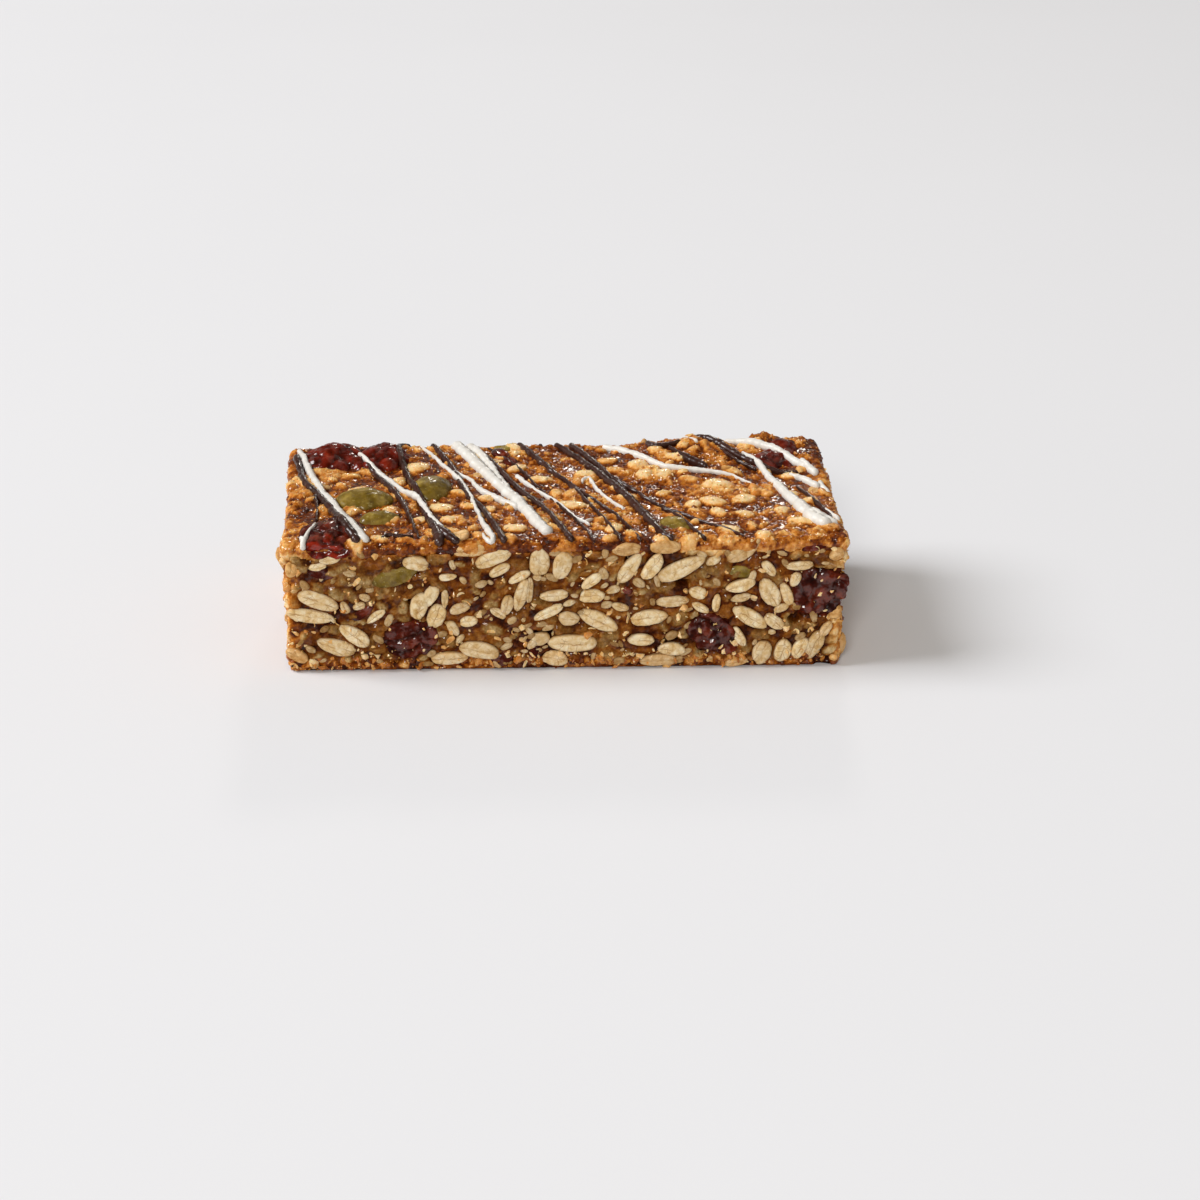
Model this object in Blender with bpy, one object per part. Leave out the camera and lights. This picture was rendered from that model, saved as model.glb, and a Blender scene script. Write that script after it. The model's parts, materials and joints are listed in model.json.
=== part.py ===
"""A baked granola slice: one block of syrup-bound oats, with dried cranberries and pumpkin seeds set in it.

The long sides are knife cuts, so they are nearly flat. The top and the two ends are baked crust and knobbly.
Each berry or seed sits in a pocket of the block, with a hair of clearance all round.
"""

import math

import bmesh
import bpy
from mathutils import Euler, Matrix, Vector, noise

MM = 0.001

# Driving dimensions of the slice
BAR_LENGTH = 100 * MM
BAR_DEPTH = 46 * MM
BAR_HEIGHT = 25.6 * MM
TOP_RISE = 0.8 * MM  # the top is this much higher at the +X end than at the -X end
EDGE_RADIUS = 1.6 * MM
FOOT_INSET = 0.5 * MM  # how far the foot of each side draws in under the slice

# Relief: how deep the hollows between the knobs go on each kind of side
CELL = 2.15 * MM
KNOB_SIZE = 5.2 * MM
CRUST_RELIEF = 1.3 * MM
END_RELIEF = 1.7 * MM
CUT_RELIEF = 0.45 * MM
SWELL_SIZE = 21 * MM
SWELL_RELIEF = 0.5 * MM

POCKET_GAP = 0.35 * MM
CUT_PROUD = 0.1 * MM  # a berry cut by the knife stands this far out of the cut side

FRONT = -BAR_DEPTH / 2
BACK = BAR_DEPTH / 2
LEFT_END = -BAR_LENGTH / 2
RIGHT_END = BAR_LENGTH / 2

# Dried cranberries on the top crust: place along and across the bar, how far the middle lies
# under the crust, then length, width and height, the turn about the vertical, and the side that shaves it
TOP_BERRIES = {
    "cranberry_back_left_a": dict(at=(-42.2, 17.0), sunk=2.6, size=(10.6, 9.0, 8.0), turn=25),
    "cranberry_back_left_b": dict(at=(-31.6, 15.4), sunk=2.4, size=(9.4, 9.8, 7.6), turn=-20),
    "cranberry_front_corner": dict(
        at=(-41.2, -18.4), sunk=2.5, size=(10.2, 12.5, 7.4), turn=-12, side=FRONT
    ),
    "cranberry_back_right_a": dict(at=(44.6, 18.6), sunk=2.7, size=(8.6, 8.2, 7.6), turn=40),
    "cranberry_back_right_b": dict(at=(39.4, 10.8), sunk=3.1, size=(9.8, 7.8, 7.6), turn=15),
}

# Cranberries that the knife went through: place along the bar, height of the middle,
# then length, depth and height, and the lean in the plane of the cut
CUT_BERRIES = {
    "cranberry_cut_left": dict(side=FRONT, at=(-27.9, 6.3), size=(10.0, 9.0, 7.8), lean=-8),
    "cranberry_cut_middle": dict(side=FRONT, at=(26.5, 6.4), size=(10.2, 9.4, 8.4), lean=32),
    "cranberry_cut_right": dict(side=FRONT, at=(45.3, 14.7), size=(9.8, 9.6, 11.2), lean=-24),
    "cranberry_back_cut_a": dict(side=BACK, at=(-17.5, 13.5), size=(10.8, 9.0, 8.2), lean=18),
    "cranberry_back_cut_b": dict(side=BACK, at=(21.0, 7.2), size=(9.4, 9.0, 7.6), lean=-30),
    "cranberry_end_left": dict(side=LEFT_END, at=(4.0, 9.6), size=(9.0, 10.4, 7.8), lean=15),
    "cranberry_end_right": dict(side=RIGHT_END, at=(9.5, 11.0), size=(9.0, 9.6, 8.2), lean=-20),
}

# Hulled pumpkin seeds: as the berries, with tip = how far the flat face tips towards the front
TOP_SEEDS = {
    "pumpkin_seed_left": dict(at=(-35.8, -4.4), sunk=0.75, size=(11.4, 7.2, 3.4), turn=6, tip=14),
    "pumpkin_seed_middle": dict(at=(-24.0, 0.7), sunk=0.8, size=(10.8, 7.4, 3.6), turn=68, tip=12),
    "pumpkin_seed_low": dict(at=(-31.9, -12.0), sunk=0.85, size=(8.8, 5.2, 3.0), turn=12, tip=22),
    "pumpkin_seed_right": dict(at=(21.0, -15.8), sunk=1.0, size=(8.6, 5.8, 3.2), turn=-40, tip=10),
}
CUT_SEEDS = {
    "pumpkin_seed_cut": dict(side=FRONT, at=(-30.6, 18.4), size=(10.2, 6.4, 4.0), lean=-16),
    "pumpkin_seed_back_cut": dict(side=BACK, at=(6.0, 16.5), size=(10.4, 6.6, 4.0), lean=12),
}
SEED_TAPER = 0.42

COLOURS = {
    "baked_oats": dict(rgb=(0.33, 0.17, 0.065), roughness=0.45),
    "cranberry": dict(rgb=(0.16, 0.012, 0.012), roughness=0.28),
    "pumpkin_seed": dict(rgb=(0.16, 0.15, 0.035), roughness=0.35),
}


def clear_scene():
    for thing in list(bpy.data.objects):
        bpy.data.objects.remove(thing)


def new_collection(name):
    collection = bpy.data.collections.new(name)
    bpy.context.scene.collection.children.link(collection)
    return collection


def make_material(name):
    look = COLOURS[name]
    material = bpy.data.materials.new(name)
    material.use_nodes = True
    shader = material.node_tree.nodes["Principled BSDF"]
    shader.inputs["Base Color"].default_value = (*look["rgb"], 1)
    shader.inputs["Roughness"].default_value = look["roughness"]
    shader.inputs["Metallic"].default_value = 0
    return material


def add_object(name, mesh_data, collection, material=None):
    """Makes an object of a bmesh, shades it smooth and frees the bmesh."""
    mesh = bpy.data.meshes.new(name)
    mesh_data.to_mesh(mesh)
    mesh_data.free()
    mesh.shade_smooth()
    if material:
        mesh.materials.append(material)
    made = bpy.data.objects.new(name, mesh)
    collection.objects.link(made)
    return made


def top_height(x):
    """The height of the crust at a place along the bar."""
    return BAR_HEIGHT - TOP_RISE * (0.5 - x / BAR_LENGTH)


def knobs(point, seed):
    """0 on top of a knob and 1 in the deepest hollow between knobs, as oats pressed side by side leave it."""
    spot = point / KNOB_SIZE + Vector((seed, 2 * seed, 3 * seed))
    nearest = noise.voronoi(spot, distance_metric="DISTANCE", exponent=2.5)[0][0]
    return min(1.0, nearest**1.5)


def sliced_box():
    """A box cut by planes in all three directions, so that its sides are grids of square cells."""
    box = bmesh.new()
    bmesh.ops.create_cube(box, size=1)
    size = Vector((BAR_LENGTH, BAR_DEPTH, BAR_HEIGHT))
    bmesh.ops.scale(box, vec=size, verts=box.verts)
    bmesh.ops.translate(box, vec=(0, 0, BAR_HEIGHT / 2), verts=box.verts)
    lowest = (LEFT_END, FRONT, 0)
    for axis in range(3):
        cells = round(size[axis] / CELL)
        normal = [0, 0, 0]
        normal[axis] = 1
        for step in range(1, cells):
            place = [0, 0, 0]
            place[axis] = lowest[axis] + size[axis] * step / cells
            everything = box.verts[:] + box.edges[:] + box.faces[:]
            bmesh.ops.bisect_plane(box, geom=everything, plane_co=place, plane_no=normal)
    return box


def rounded(point):
    """Where a point of the sharp box lies once its upper and upright edges are rounded, and the way out there."""
    inner = Vector(
        (
            max(LEFT_END + EDGE_RADIUS, min(RIGHT_END - EDGE_RADIUS, point.x)),
            max(FRONT + EDGE_RADIUS, min(BACK - EDGE_RADIUS, point.y)),
            min(BAR_HEIGHT - EDGE_RADIUS, point.z),
        )
    )
    out = (point - inner).normalized()
    return inner + EDGE_RADIUS * out, out


def shape_block(box):
    """Rounds the sliced box, sinks the hollows between its knobs and tilts its top."""
    for vert in box.verts:
        if vert.co.z < 1e-6:
            vert.co.x *= 1 - FOOT_INSET / RIGHT_END
            vert.co.y *= 1 - FOOT_INSET / BACK
            continue
        place, out = rounded(vert.co)
        relief = CRUST_RELIEF * max(0, out.z) + END_RELIEF * abs(out.x) + CUT_RELIEF * abs(out.y)
        swell = 0.5 + 0.5 * noise.noise(place / SWELL_SIZE + Vector((7.3, 1.9, 4.1)))
        sink = relief * knobs(place, 1.7) + SWELL_RELIEF * swell * abs(out.z)
        place -= sink * out
        place.z *= top_height(place.x) / BAR_HEIGHT
        vert.co = place
    return box


def lump(size, wrinkle, seed, subdivisions=2, grow=0.0):
    """A wrinkled ball of the given size, as a dried berry, bigger by grow all round."""
    ball = bmesh.new()
    bmesh.ops.create_icosphere(ball, subdivisions=subdivisions, radius=0.5)
    for vert in ball.verts:
        fold = noise.noise(vert.co * 4.6 + Vector((seed, 0, -seed)))
        unit = vert.co.normalized()
        shape = Vector(size) * (0.5 + wrinkle * fold)
        vert.co = Vector(unit[k] * (shape[k] + grow) for k in range(3))
    return ball


def kernel(size, grow=0.0):
    """A flat drop, as a hulled pumpkin seed: blunt at one end and pointed at the other."""
    ball = bmesh.new()
    bmesh.ops.create_icosphere(ball, subdivisions=2, radius=0.5)
    for vert in ball.verts:
        unit = vert.co.normalized()
        taper = 1 - SEED_TAPER * max(0.0, unit.x) ** 2
        shape = Vector((size[0] / 2, size[1] / 2 * taper, size[2] / 2 * taper))
        vert.co = Vector(unit[k] * (shape[k] + grow) for k in range(3))
    return ball


def side_frame(side):
    """The way along a cut side, the way out of it, and a point on it at the foot."""
    if side in (FRONT, BACK):
        return Vector((1, 0, 0)), Vector((0, math.copysign(1, side), 0)), Vector((0, side, 0))
    return Vector((0, 1, 0)), Vector((math.copysign(1, side), 0, 0)), Vector((side, 0, 0))


def top_placing(spec):
    """The matrix that puts a berry or seed on the crust."""
    x, y = (value * MM for value in spec["at"])
    z = top_height(x) - SWELL_RELIEF / 2 - spec["sunk"] * MM
    turn = Euler((math.radians(spec.get("tip", 0)), 0, math.radians(spec["turn"])), "XYZ")
    return Matrix.Translation((x, y, z)) @ turn.to_matrix().to_4x4()


def cut_placing(spec, inward):
    """The matrix that puts a berry or seed in a side, with its middle this far in."""
    along, out, foot = side_frame(spec["side"])
    place, height = (value * MM for value in spec["at"])
    middle = foot + along * place + Vector((0, 0, height)) - out * inward
    lean = Matrix.Rotation(math.radians(spec["lean"]), 4, "Y")
    if spec["side"] in (LEFT_END, RIGHT_END):
        lean = Matrix.Rotation(math.radians(spec["lean"]), 4, "X")
    return Matrix.Translation(middle) @ lean


def shave(ball, spec):
    """Cuts off what stands out of the knife's plane and closes the cut."""
    _, out, foot = side_frame(spec["side"])
    everything = ball.verts[:] + ball.edges[:] + ball.faces[:]
    made = bmesh.ops.bisect_plane(
        ball, geom=everything, plane_co=foot + out * CUT_PROUD, plane_no=out, clear_outer=True
    )
    rim = [part for part in made["geom_cut"] if isinstance(part, bmesh.types.BMEdge)]
    if rim:
        bmesh.ops.holes_fill(ball, edges=rim)
        bmesh.ops.triangulate(ball, faces=[face for face in ball.faces if len(face.verts) > 4])
        bmesh.ops.recalc_face_normals(ball, faces=ball.faces)
    return ball


def pocket_in(block, name, cutter):
    """Takes the cutter's shape out of the block."""
    cut = block.modifiers.new("pocket " + name, "BOOLEAN")
    cut.operation = "DIFFERENCE"
    cut.object = cutter
    cutter.hide_render = True
    cutter.display_type = "WIRE"


def set_in(block, name, shape, placing, spec, material, groups):
    """Adds one berry or seed and its pocket. shape(grow) gives its mesh."""
    parts, cutters = groups
    piece = shape(0)
    bmesh.ops.transform(piece, matrix=placing, verts=piece.verts)
    if "side" in spec:
        shave(piece, spec)
    add_object(name, piece, parts, material)
    pocket = shape(POCKET_GAP)
    bmesh.ops.transform(pocket, matrix=placing, verts=pocket.verts)
    pocket_in(block, name, add_object(name + "_pocket", pocket, cutters))


def add_berries(block, groups):
    material = make_material("cranberry")
    for number, (name, spec) in enumerate(TOP_BERRIES.items()):
        size = [value * MM for value in spec["size"]]

        def shape(grow, size=size, seed=1.3 * number):
            return lump(size, 0.16, seed, grow=grow)

        set_in(block, name, shape, top_placing(spec), spec, material, groups)
    for number, (name, spec) in enumerate(CUT_BERRIES.items()):
        size = [value * MM for value in spec["size"]]
        inward = 0.16 * size[1]

        def shape(grow, size=size, seed=20 + 1.7 * number):
            return lump(size, 0.16, seed, grow=grow)

        set_in(block, name, shape, cut_placing(spec, inward), spec, material, groups)


def add_seeds(block, groups):
    material = make_material("pumpkin_seed")
    for name, spec in (TOP_SEEDS | CUT_SEEDS).items():
        size = [value * MM for value in spec["size"]]
        cut = "side" in spec
        placing = cut_placing(spec, 0.12 * size[1]) if cut else top_placing(spec)

        def shape(grow, size=size):
            return kernel(size, grow)

        set_in(block, name, shape, placing, spec, material, groups)


def main():
    clear_scene()
    groups = new_collection("granola_bar"), new_collection("pocket_cutters")
    box = shape_block(sliced_box())
    block = add_object("oat_block", box, groups[0], make_material("baked_oats"))
    add_berries(block, groups)
    add_seeds(block, groups)


main()
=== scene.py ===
import itertools
import json
import math
import random

import bmesh
import bpy
import numpy as np
from mathutils import Matrix, Vector, noise
from mathutils.bvhtree import BVHTree

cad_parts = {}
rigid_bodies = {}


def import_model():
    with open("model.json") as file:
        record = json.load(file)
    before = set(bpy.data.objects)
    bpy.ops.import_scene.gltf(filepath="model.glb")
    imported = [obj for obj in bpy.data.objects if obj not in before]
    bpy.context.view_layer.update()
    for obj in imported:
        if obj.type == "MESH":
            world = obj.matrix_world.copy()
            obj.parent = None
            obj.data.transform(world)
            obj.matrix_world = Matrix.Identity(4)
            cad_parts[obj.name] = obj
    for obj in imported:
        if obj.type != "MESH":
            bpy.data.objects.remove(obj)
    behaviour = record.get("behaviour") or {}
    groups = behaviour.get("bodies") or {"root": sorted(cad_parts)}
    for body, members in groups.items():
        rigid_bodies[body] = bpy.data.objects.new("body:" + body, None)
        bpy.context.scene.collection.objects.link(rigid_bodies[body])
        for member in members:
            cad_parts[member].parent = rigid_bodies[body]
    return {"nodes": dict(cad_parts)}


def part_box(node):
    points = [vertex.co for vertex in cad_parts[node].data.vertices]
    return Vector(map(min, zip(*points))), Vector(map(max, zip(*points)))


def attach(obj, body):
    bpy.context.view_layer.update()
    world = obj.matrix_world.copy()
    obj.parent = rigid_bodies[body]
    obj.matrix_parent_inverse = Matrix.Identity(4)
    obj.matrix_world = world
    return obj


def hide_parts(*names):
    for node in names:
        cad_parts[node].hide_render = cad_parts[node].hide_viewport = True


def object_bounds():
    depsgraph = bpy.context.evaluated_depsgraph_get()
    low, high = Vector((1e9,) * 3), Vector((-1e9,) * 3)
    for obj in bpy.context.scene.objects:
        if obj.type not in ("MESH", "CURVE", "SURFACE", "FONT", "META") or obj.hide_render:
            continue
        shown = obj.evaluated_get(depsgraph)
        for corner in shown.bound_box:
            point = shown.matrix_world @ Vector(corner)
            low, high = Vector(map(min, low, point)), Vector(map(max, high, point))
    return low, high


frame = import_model()
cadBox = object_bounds()
mm = 0.001
print("frame loaded:", len(frame["nodes"]), "nodes")


# material helpers

def addNode(material, kind, settings=None, inputs=None):
    node = material.node_tree.nodes.new(kind)
    for key, value in (settings or {}).items():
        setattr(node, key, value)
    for key, value in (inputs or {}).items():
        if isinstance(value, bpy.types.NodeSocket):
            material.node_tree.links.new(value, node.inputs[key])
        else:
            node.inputs[key].default_value = value
    return node


def newMaterial(name, sockets):
    material = bpy.data.materials.new(name)
    material.use_nodes = True
    shader = material.node_tree.nodes["Principled BSDF"]
    for key, value in sockets.items():
        shader.inputs[key].default_value = value
    return material


def plug(material, socket, value):
    # joins a node's output to a socket of the main shader
    shader = material.node_tree.nodes["Principled BSDF"]
    material.node_tree.links.new(value, shader.inputs[socket])


def place(material):
    return addNode(material, "ShaderNodeTexCoord").outputs["Object"]


def perMm(size):
    # texture scale that gives features about this many millimetres wide
    return 1 / (size * mm)


def noiseFine(material, size, detail=3.0, roughness=0.55, distortion=0.0):
    settings = dict(noise_dimensions="3D")
    inputs = {"Vector": place(material), "Scale": perMm(size), "Detail": detail,
              "Roughness": roughness, "Distortion": distortion}
    return addNode(material, "ShaderNodeTexNoise", settings, inputs).outputs["Fac"]


def cells(material, size, feature="F1", output="Distance"):
    settings = dict(voronoi_dimensions="3D", feature=feature)
    inputs = {"Vector": place(material), "Scale": perMm(size)}
    return addNode(material, "ShaderNodeTexVoronoi", settings, inputs).outputs[output]


def ramp(material, factor, stops):
    # stops are (position, colour) or (position, grey)
    node = addNode(material, "ShaderNodeValToRGB", inputs={"Fac": factor})
    points = node.color_ramp.elements
    while len(points) < len(stops):
        points.new(0.5)
    for point, (position, colour) in zip(points, stops):
        point.position = position
        point.color = (*colour, 1) if hasattr(colour, "__len__") else (colour, colour, colour, 1)
    return node.outputs["Color"]


def blendColours(material, factor, first, second, way="MIX"):
    settings = dict(data_type="RGBA", blend_type=way)
    node = addNode(material, "ShaderNodeMix", settings)
    links = material.node_tree.links
    for index, value in ((0, factor), (6, first), (7, second)):
        if isinstance(value, bpy.types.NodeSocket):
            links.new(value, node.inputs[index])
        elif hasattr(value, "__len__"):
            node.inputs[index].default_value = (*value, 1)
        else:
            node.inputs[index].default_value = value
    return node.outputs[2]


def calc(material, operation, *values, clamp=False):
    node = addNode(material, "ShaderNodeMath", dict(operation=operation, use_clamp=clamp))
    for index, value in enumerate(values):
        if isinstance(value, bpy.types.NodeSocket):
            material.node_tree.links.new(value, node.inputs[index])
        else:
            node.inputs[index].default_value = value
    return node.outputs["Value"]


def rescale(material, value, low, high, newLow=0.0, newHigh=1.0):
    inputs = {"Value": value, "From Min": low, "From Max": high, "To Min": newLow, "To Max": newHigh}
    return addNode(material, "ShaderNodeMapRange", dict(clamp=True), inputs).outputs["Result"]


def stored(material, name, part=None):
    # a value kept on the mesh's points; part picks X, Y or Z of a triple
    node = addNode(material, "ShaderNodeAttribute", dict(attribute_name=name))
    if part is None:
        return node.outputs["Fac"]
    return addNode(material, "ShaderNodeSeparateXYZ", inputs={"Vector": node.outputs["Vector"]}).outputs[part]


def glossSpots(material, size, share, weight):
    # a clear coat on that share of the surface, in spots of that size
    spots = rescale(material, noiseFine(material, size, 2), 0.62 - 0.3 * share, 0.70 - 0.3 * share, 0.0, weight)
    plug(material, "Coat Weight", spots)
    return spots


def bump(material, height, depth, strength=1.0):
    # depth in millimetres
    inputs = {"Height": height, "Distance": depth * mm, "Strength": strength}
    plug(material, "Normal", addNode(material, "ShaderNodeBump", inputs=inputs).outputs["Normal"])


# mesh helpers

def meshPiece(name, points, faces, material, values=None, smooth=True):
    # points in millimetres, none under the floor; values are floats or triples kept on the points
    points = np.array(points, float)
    points[:, 2] = np.maximum(points[:, 2], 0)
    mesh = bpy.data.meshes.new(name)
    mesh.from_pydata((points * mm).tolist(), [], faces)
    for key, numbers in (values or {}).items():
        numbers = np.asarray(numbers, float)
        kind = "FLOAT" if numbers.ndim == 1 else "FLOAT_VECTOR"
        kept = mesh.attributes.new(key, kind, "POINT")
        kept.data.foreach_set("value" if numbers.ndim == 1 else "vector", numbers.ravel())
    if smooth:
        mesh.shade_smooth()
    mesh.materials.append(material)
    mesh.validate()
    piece = bpy.data.objects.new(name, mesh)
    bpy.context.scene.collection.objects.link(piece)
    return piece


def finishPiece(piece, slotName, *nodes):
    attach(piece, "root")
    if nodes:
        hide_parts(*nodes)
    triangles = sum(len(face.vertices) - 2 for face in piece.data.polygons)
    print(piece.name, "made:", triangles, "triangles")


def unitRows(rows):
    return rows / np.maximum(np.linalg.norm(rows, axis=-1, keepdims=True), 1e-9)


def easeUp(values, low, high):
    # 0 up to low, 1 from high, smooth between
    part = np.clip((values - low) / (high - low), 0, 1)
    return part * part * (3 - 2 * part)


def hashed(cellAt, seed, channel):
    # an even random number from 0 to 1 for each whole-number cell
    mixed = np.sin(cellAt @ np.array([127.1, 311.7, 74.7]) + seed * 19.19 + channel * 57.3) * 43758.5453
    return mixed - np.floor(mixed)


def softNoise(points, size, seed):
    # smooth noise from -1 to 1
    scaled = points / size
    base = np.floor(scaled)
    part = scaled - base
    part = part * part * (3 - 2 * part)
    total = np.zeros(len(points))
    for corner in itertools.product((0, 1), repeat=3):
        weight = np.prod(np.where(corner, part, 1 - part), axis=1)
        total += weight * hashed(base + corner, seed, 5)
    return 2 * total - 1


def roughNoise(points, size, seed):
    # three layers of soft noise, each half as wide and half as strong
    return sum(softNoise(points, size / 2**layer, seed + layer) / 2**layer for layer in range(3)) / 1.75


def warped(points, size, amount, seed):
    return points + amount * np.stack([softNoise(points, size, seed + axis) for axis in range(3)], 1)


def pillows(points, size, seed, groove=0.35):
    # close-packed rounded lumps: 0 in the grooves between them, 1 on top, and each lump's own random number
    scaled = points / size
    base = np.floor(scaled)
    first = np.full(len(points), 9.0)
    second = first.copy()
    own = np.zeros(len(points))
    for step in itertools.product((-1, 0, 1), repeat=3):
        cellAt = base + step
        centre = cellAt + np.stack([hashed(cellAt, seed, axis) for axis in range(3)], 1)
        away = np.linalg.norm(centre - scaled, axis=1)
        nearer = away < first
        second = np.where(nearer, first, np.minimum(second, away))
        own = np.where(nearer, hashed(cellAt, seed, 3), own)
        first = np.where(nearer, away, first)
    rise = np.clip((second - first) / groove, 0, 1)
    return rise * (2 - rise), own


def ovalsAt(u, v, ovals):
    # for each point, how far inside the nearest oval it lies (1 middle, 0 rim, below 0 outside), and which
    inside = np.full(len(u), -9.0)
    which = np.zeros(len(u), int)
    for number, (across, up, length, width, lean, *_) in enumerate(ovals):
        turn = math.radians(lean)
        a = ((u - across) * math.cos(turn) + (v - up) * math.sin(turn)) / (length / 2)
        b = ((v - up) * math.cos(turn) - (u - across) * math.sin(turn)) / (width / 2)
        depth = 1 - np.hypot(a, b)
        which[depth > inside] = number
        inside = np.maximum(inside, depth)
    return inside, which


def latticeBox(low, high, counts, openSide=None):
    # points on the sides of a box, shared along its edges, and the quads between them; one side may be left out
    steps = np.indices([count + 1 for count in counts])
    sides = [(axis, side) for axis, count in enumerate(counts) for side in (0, count) if (axis, side) != openSide]
    outer = np.zeros(steps[0].shape, bool)
    for axis, side in sides:
        outer |= steps[axis] == side
    index = np.full(outer.shape, -1)
    index[outer] = np.arange(outer.sum())
    unit = np.stack([steps[axis][outer] / count for axis, count in enumerate(counts)], 1)
    quads = []
    for axis, side in sides:
        grid = np.take(index, side, axis)
        quad = np.stack([grid[:-1, :-1], grid[1:, :-1], grid[1:, 1:], grid[:-1, 1:]], -1).reshape(-1, 4)
        inward = (side == 0) != (axis == 1)
        quads.append(quad[:, ::-1] if inward else quad)
    return low + unit * (high - low), np.concatenate(quads)


def lid(points, height, facing):
    # closes the open side of a lattice box: triangles from the rim at that height to a middle point
    rim = np.nonzero(np.abs(points[:, 2] - height) < 1e-6)[0]
    rim = rim[np.argsort(np.arctan2(points[rim, 1], points[rim, 0]))]
    middle = len(points)
    pairs = zip(rim.tolist(), np.roll(rim, -1).tolist())
    return [(middle, a, b) if facing > 0 else (middle, b, a) for a, b in pairs]


# camera, floor and light

studio = dict(
    cameraAt=(-12.2, -354.2, 168.5),  # millimetres, in the bar's own frame
    cameraTurn=3.14,  # degrees towards +X
    cameraDown=25.03,
    cameraRoll=0.73,
    lens=61.65,
    floorSize=14.0,
    floorColour=(0.775, 0.78, 0.80),
    skyColour=(1.0, 0.94, 0.86),
    skyLight=0.28,
    keyAt=(-3.4, 0.1, 2.8),
    keySize=2.3,
    keyPower=180.0,
    keyColour=(0.965, 0.975, 1.0),
    fillAt=(-1.4, -5.0, 3.0),
    fillSize=1.6,
    fillPower=150.0,
    fillColour=(1.0, 0.975, 0.94),
    # behind the bar, for glints on the syrup
    backAt=(0.5, 4.6, 2.4),
    backSize=0.7,
    backPower=25.0,
    backColour=(1.0, 0.95, 0.88),
)


def makeCamera():
    turn, down, roll = (math.radians(studio[key]) for key in ("cameraTurn", "cameraDown", "cameraRoll"))
    ahead = Vector((math.sin(turn) * math.cos(down), math.cos(turn) * math.cos(down), -math.sin(down)))
    right = Vector((math.cos(turn), -math.sin(turn), 0))
    up = right.cross(ahead)
    rolledRight = math.cos(roll) * right + math.sin(roll) * up
    rolledUp = -math.sin(roll) * right + math.cos(roll) * up
    data = bpy.data.cameras.new("camera")
    data.sensor_width = 36
    data.lens = studio["lens"]
    data.clip_start, data.clip_end = 0.01, 30
    camera = bpy.data.objects.new("camera", data)
    axes = Matrix((rolledRight, rolledUp, -ahead)).transposed()
    camera.matrix_world = Matrix.Translation(Vector(studio["cameraAt"]) * mm) @ axes.to_4x4()
    bpy.context.scene.collection.objects.link(camera)
    bpy.context.scene.camera = camera


def makeLight(name):
    data = bpy.data.lights.new(name, "AREA")
    data.shape = "DISK"
    data.size, data.energy, data.color = (studio[name + key] for key in ("Size", "Power", "Colour"))
    spot = studio[name + "At"]
    light = bpy.data.objects.new(name + "Light", data)
    light.location = spot
    aim = Vector((0, 0, 0.012)) - Vector(spot)
    light.rotation_euler = aim.to_track_quat("-Z", "Y").to_euler()
    bpy.context.scene.collection.objects.link(light)


def makeFloor():
    material = newMaterial("paleFloor", {"Roughness": 0.75, "Specular IOR Level": 0.1})
    tone = ramp(material, noiseFine(material, 300), [(0.3, studio["floorColour"]),
                (0.7, tuple(value * 1.015 for value in studio["floorColour"]))])
    plug(material, "Base Color", tone)
    bpy.ops.mesh.primitive_grid_add(x_subdivisions=24, y_subdivisions=24, size=studio["floorSize"])
    floor = bpy.context.object
    floor.name = "floor"
    floor.location.z = cadBox[0].z - 0.0001
    floor.data.materials.append(material)


def makeStudio():
    makeCamera()
    makeFloor()
    makeLight("key")
    makeLight("fill")
    makeLight("back")
    world = bpy.data.worlds.new("studio")
    bpy.context.scene.world = world
    world.use_nodes = True
    sky = world.node_tree.nodes["Background"]
    sky.inputs["Color"].default_value = (*studio["skyColour"], 1)
    sky.inputs["Strength"].default_value = studio["skyLight"]
    bpy.context.scene.view_settings.view_transform = "Standard"
    print("camera, floor and lights set")


makeStudio()


# dried cranberries and pumpkin seeds, each grown from its own CAD solid

berryShape = dict(voxel=0.27, swell=0.35, foldSize=3.1, foldDepth=0.65, creaseSize=1.35, creaseDepth=0.2)
seedShape = dict(voxel=0.3, swell=0.2, foldSize=3.2, foldDepth=0.16, creaseSize=0.9, creaseDepth=0.07)

# how some of them settle in the crust: millimetres along, across and up, and how much wider and taller they get
fruitShift = dict(
    cranberry_back_left_a=(-1.4, 0.4, 2.0, 1.3, 1.0), cranberry_back_left_b=(-3.6, 1.6, 1.6, 1.34, 1.0),
    cranberry_back_right_a=(-1.2, -0.6, 1.3, 1.3, 1.0), cranberry_back_right_b=(0.6, 1.4, 1.8, 1.3, 1.0),
    cranberry_front_corner=(-0.6, 0.3, 1.9, 1.14, 0.74),
    pumpkin_seed_left=(-0.6, 1.2, 1.0, 0.96, 1.0), pumpkin_seed_middle=(0.0, 0.9, 1.1, 1.0, 1.1),
    pumpkin_seed_low=(-1.2, 0.6, 0.4, 0.92, 1.0), pumpkin_seed_right=(-1.1, 0.3, 0.2, 0.85, 1.0),
    pumpkin_seed_cut=(0.2, -0.15, 0.0, 0.88, 0.9),
)


def remeshed(node, voxel):
    mesh = node.data.copy()
    holder = bpy.data.objects.new("holder", mesh)
    bpy.context.scene.collection.objects.link(holder)
    remesh = holder.modifiers.new("remesh", "REMESH")
    remesh.mode = "VOXEL"
    remesh.voxel_size = voxel * mm
    relax = holder.modifiers.new("relax", "SMOOTH")
    relax.iterations = 6
    depsgraph = bpy.context.evaluated_depsgraph_get()
    made = bpy.data.meshes.new_from_object(holder.evaluated_get(depsgraph))
    bpy.data.objects.remove(holder)
    return made


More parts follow.
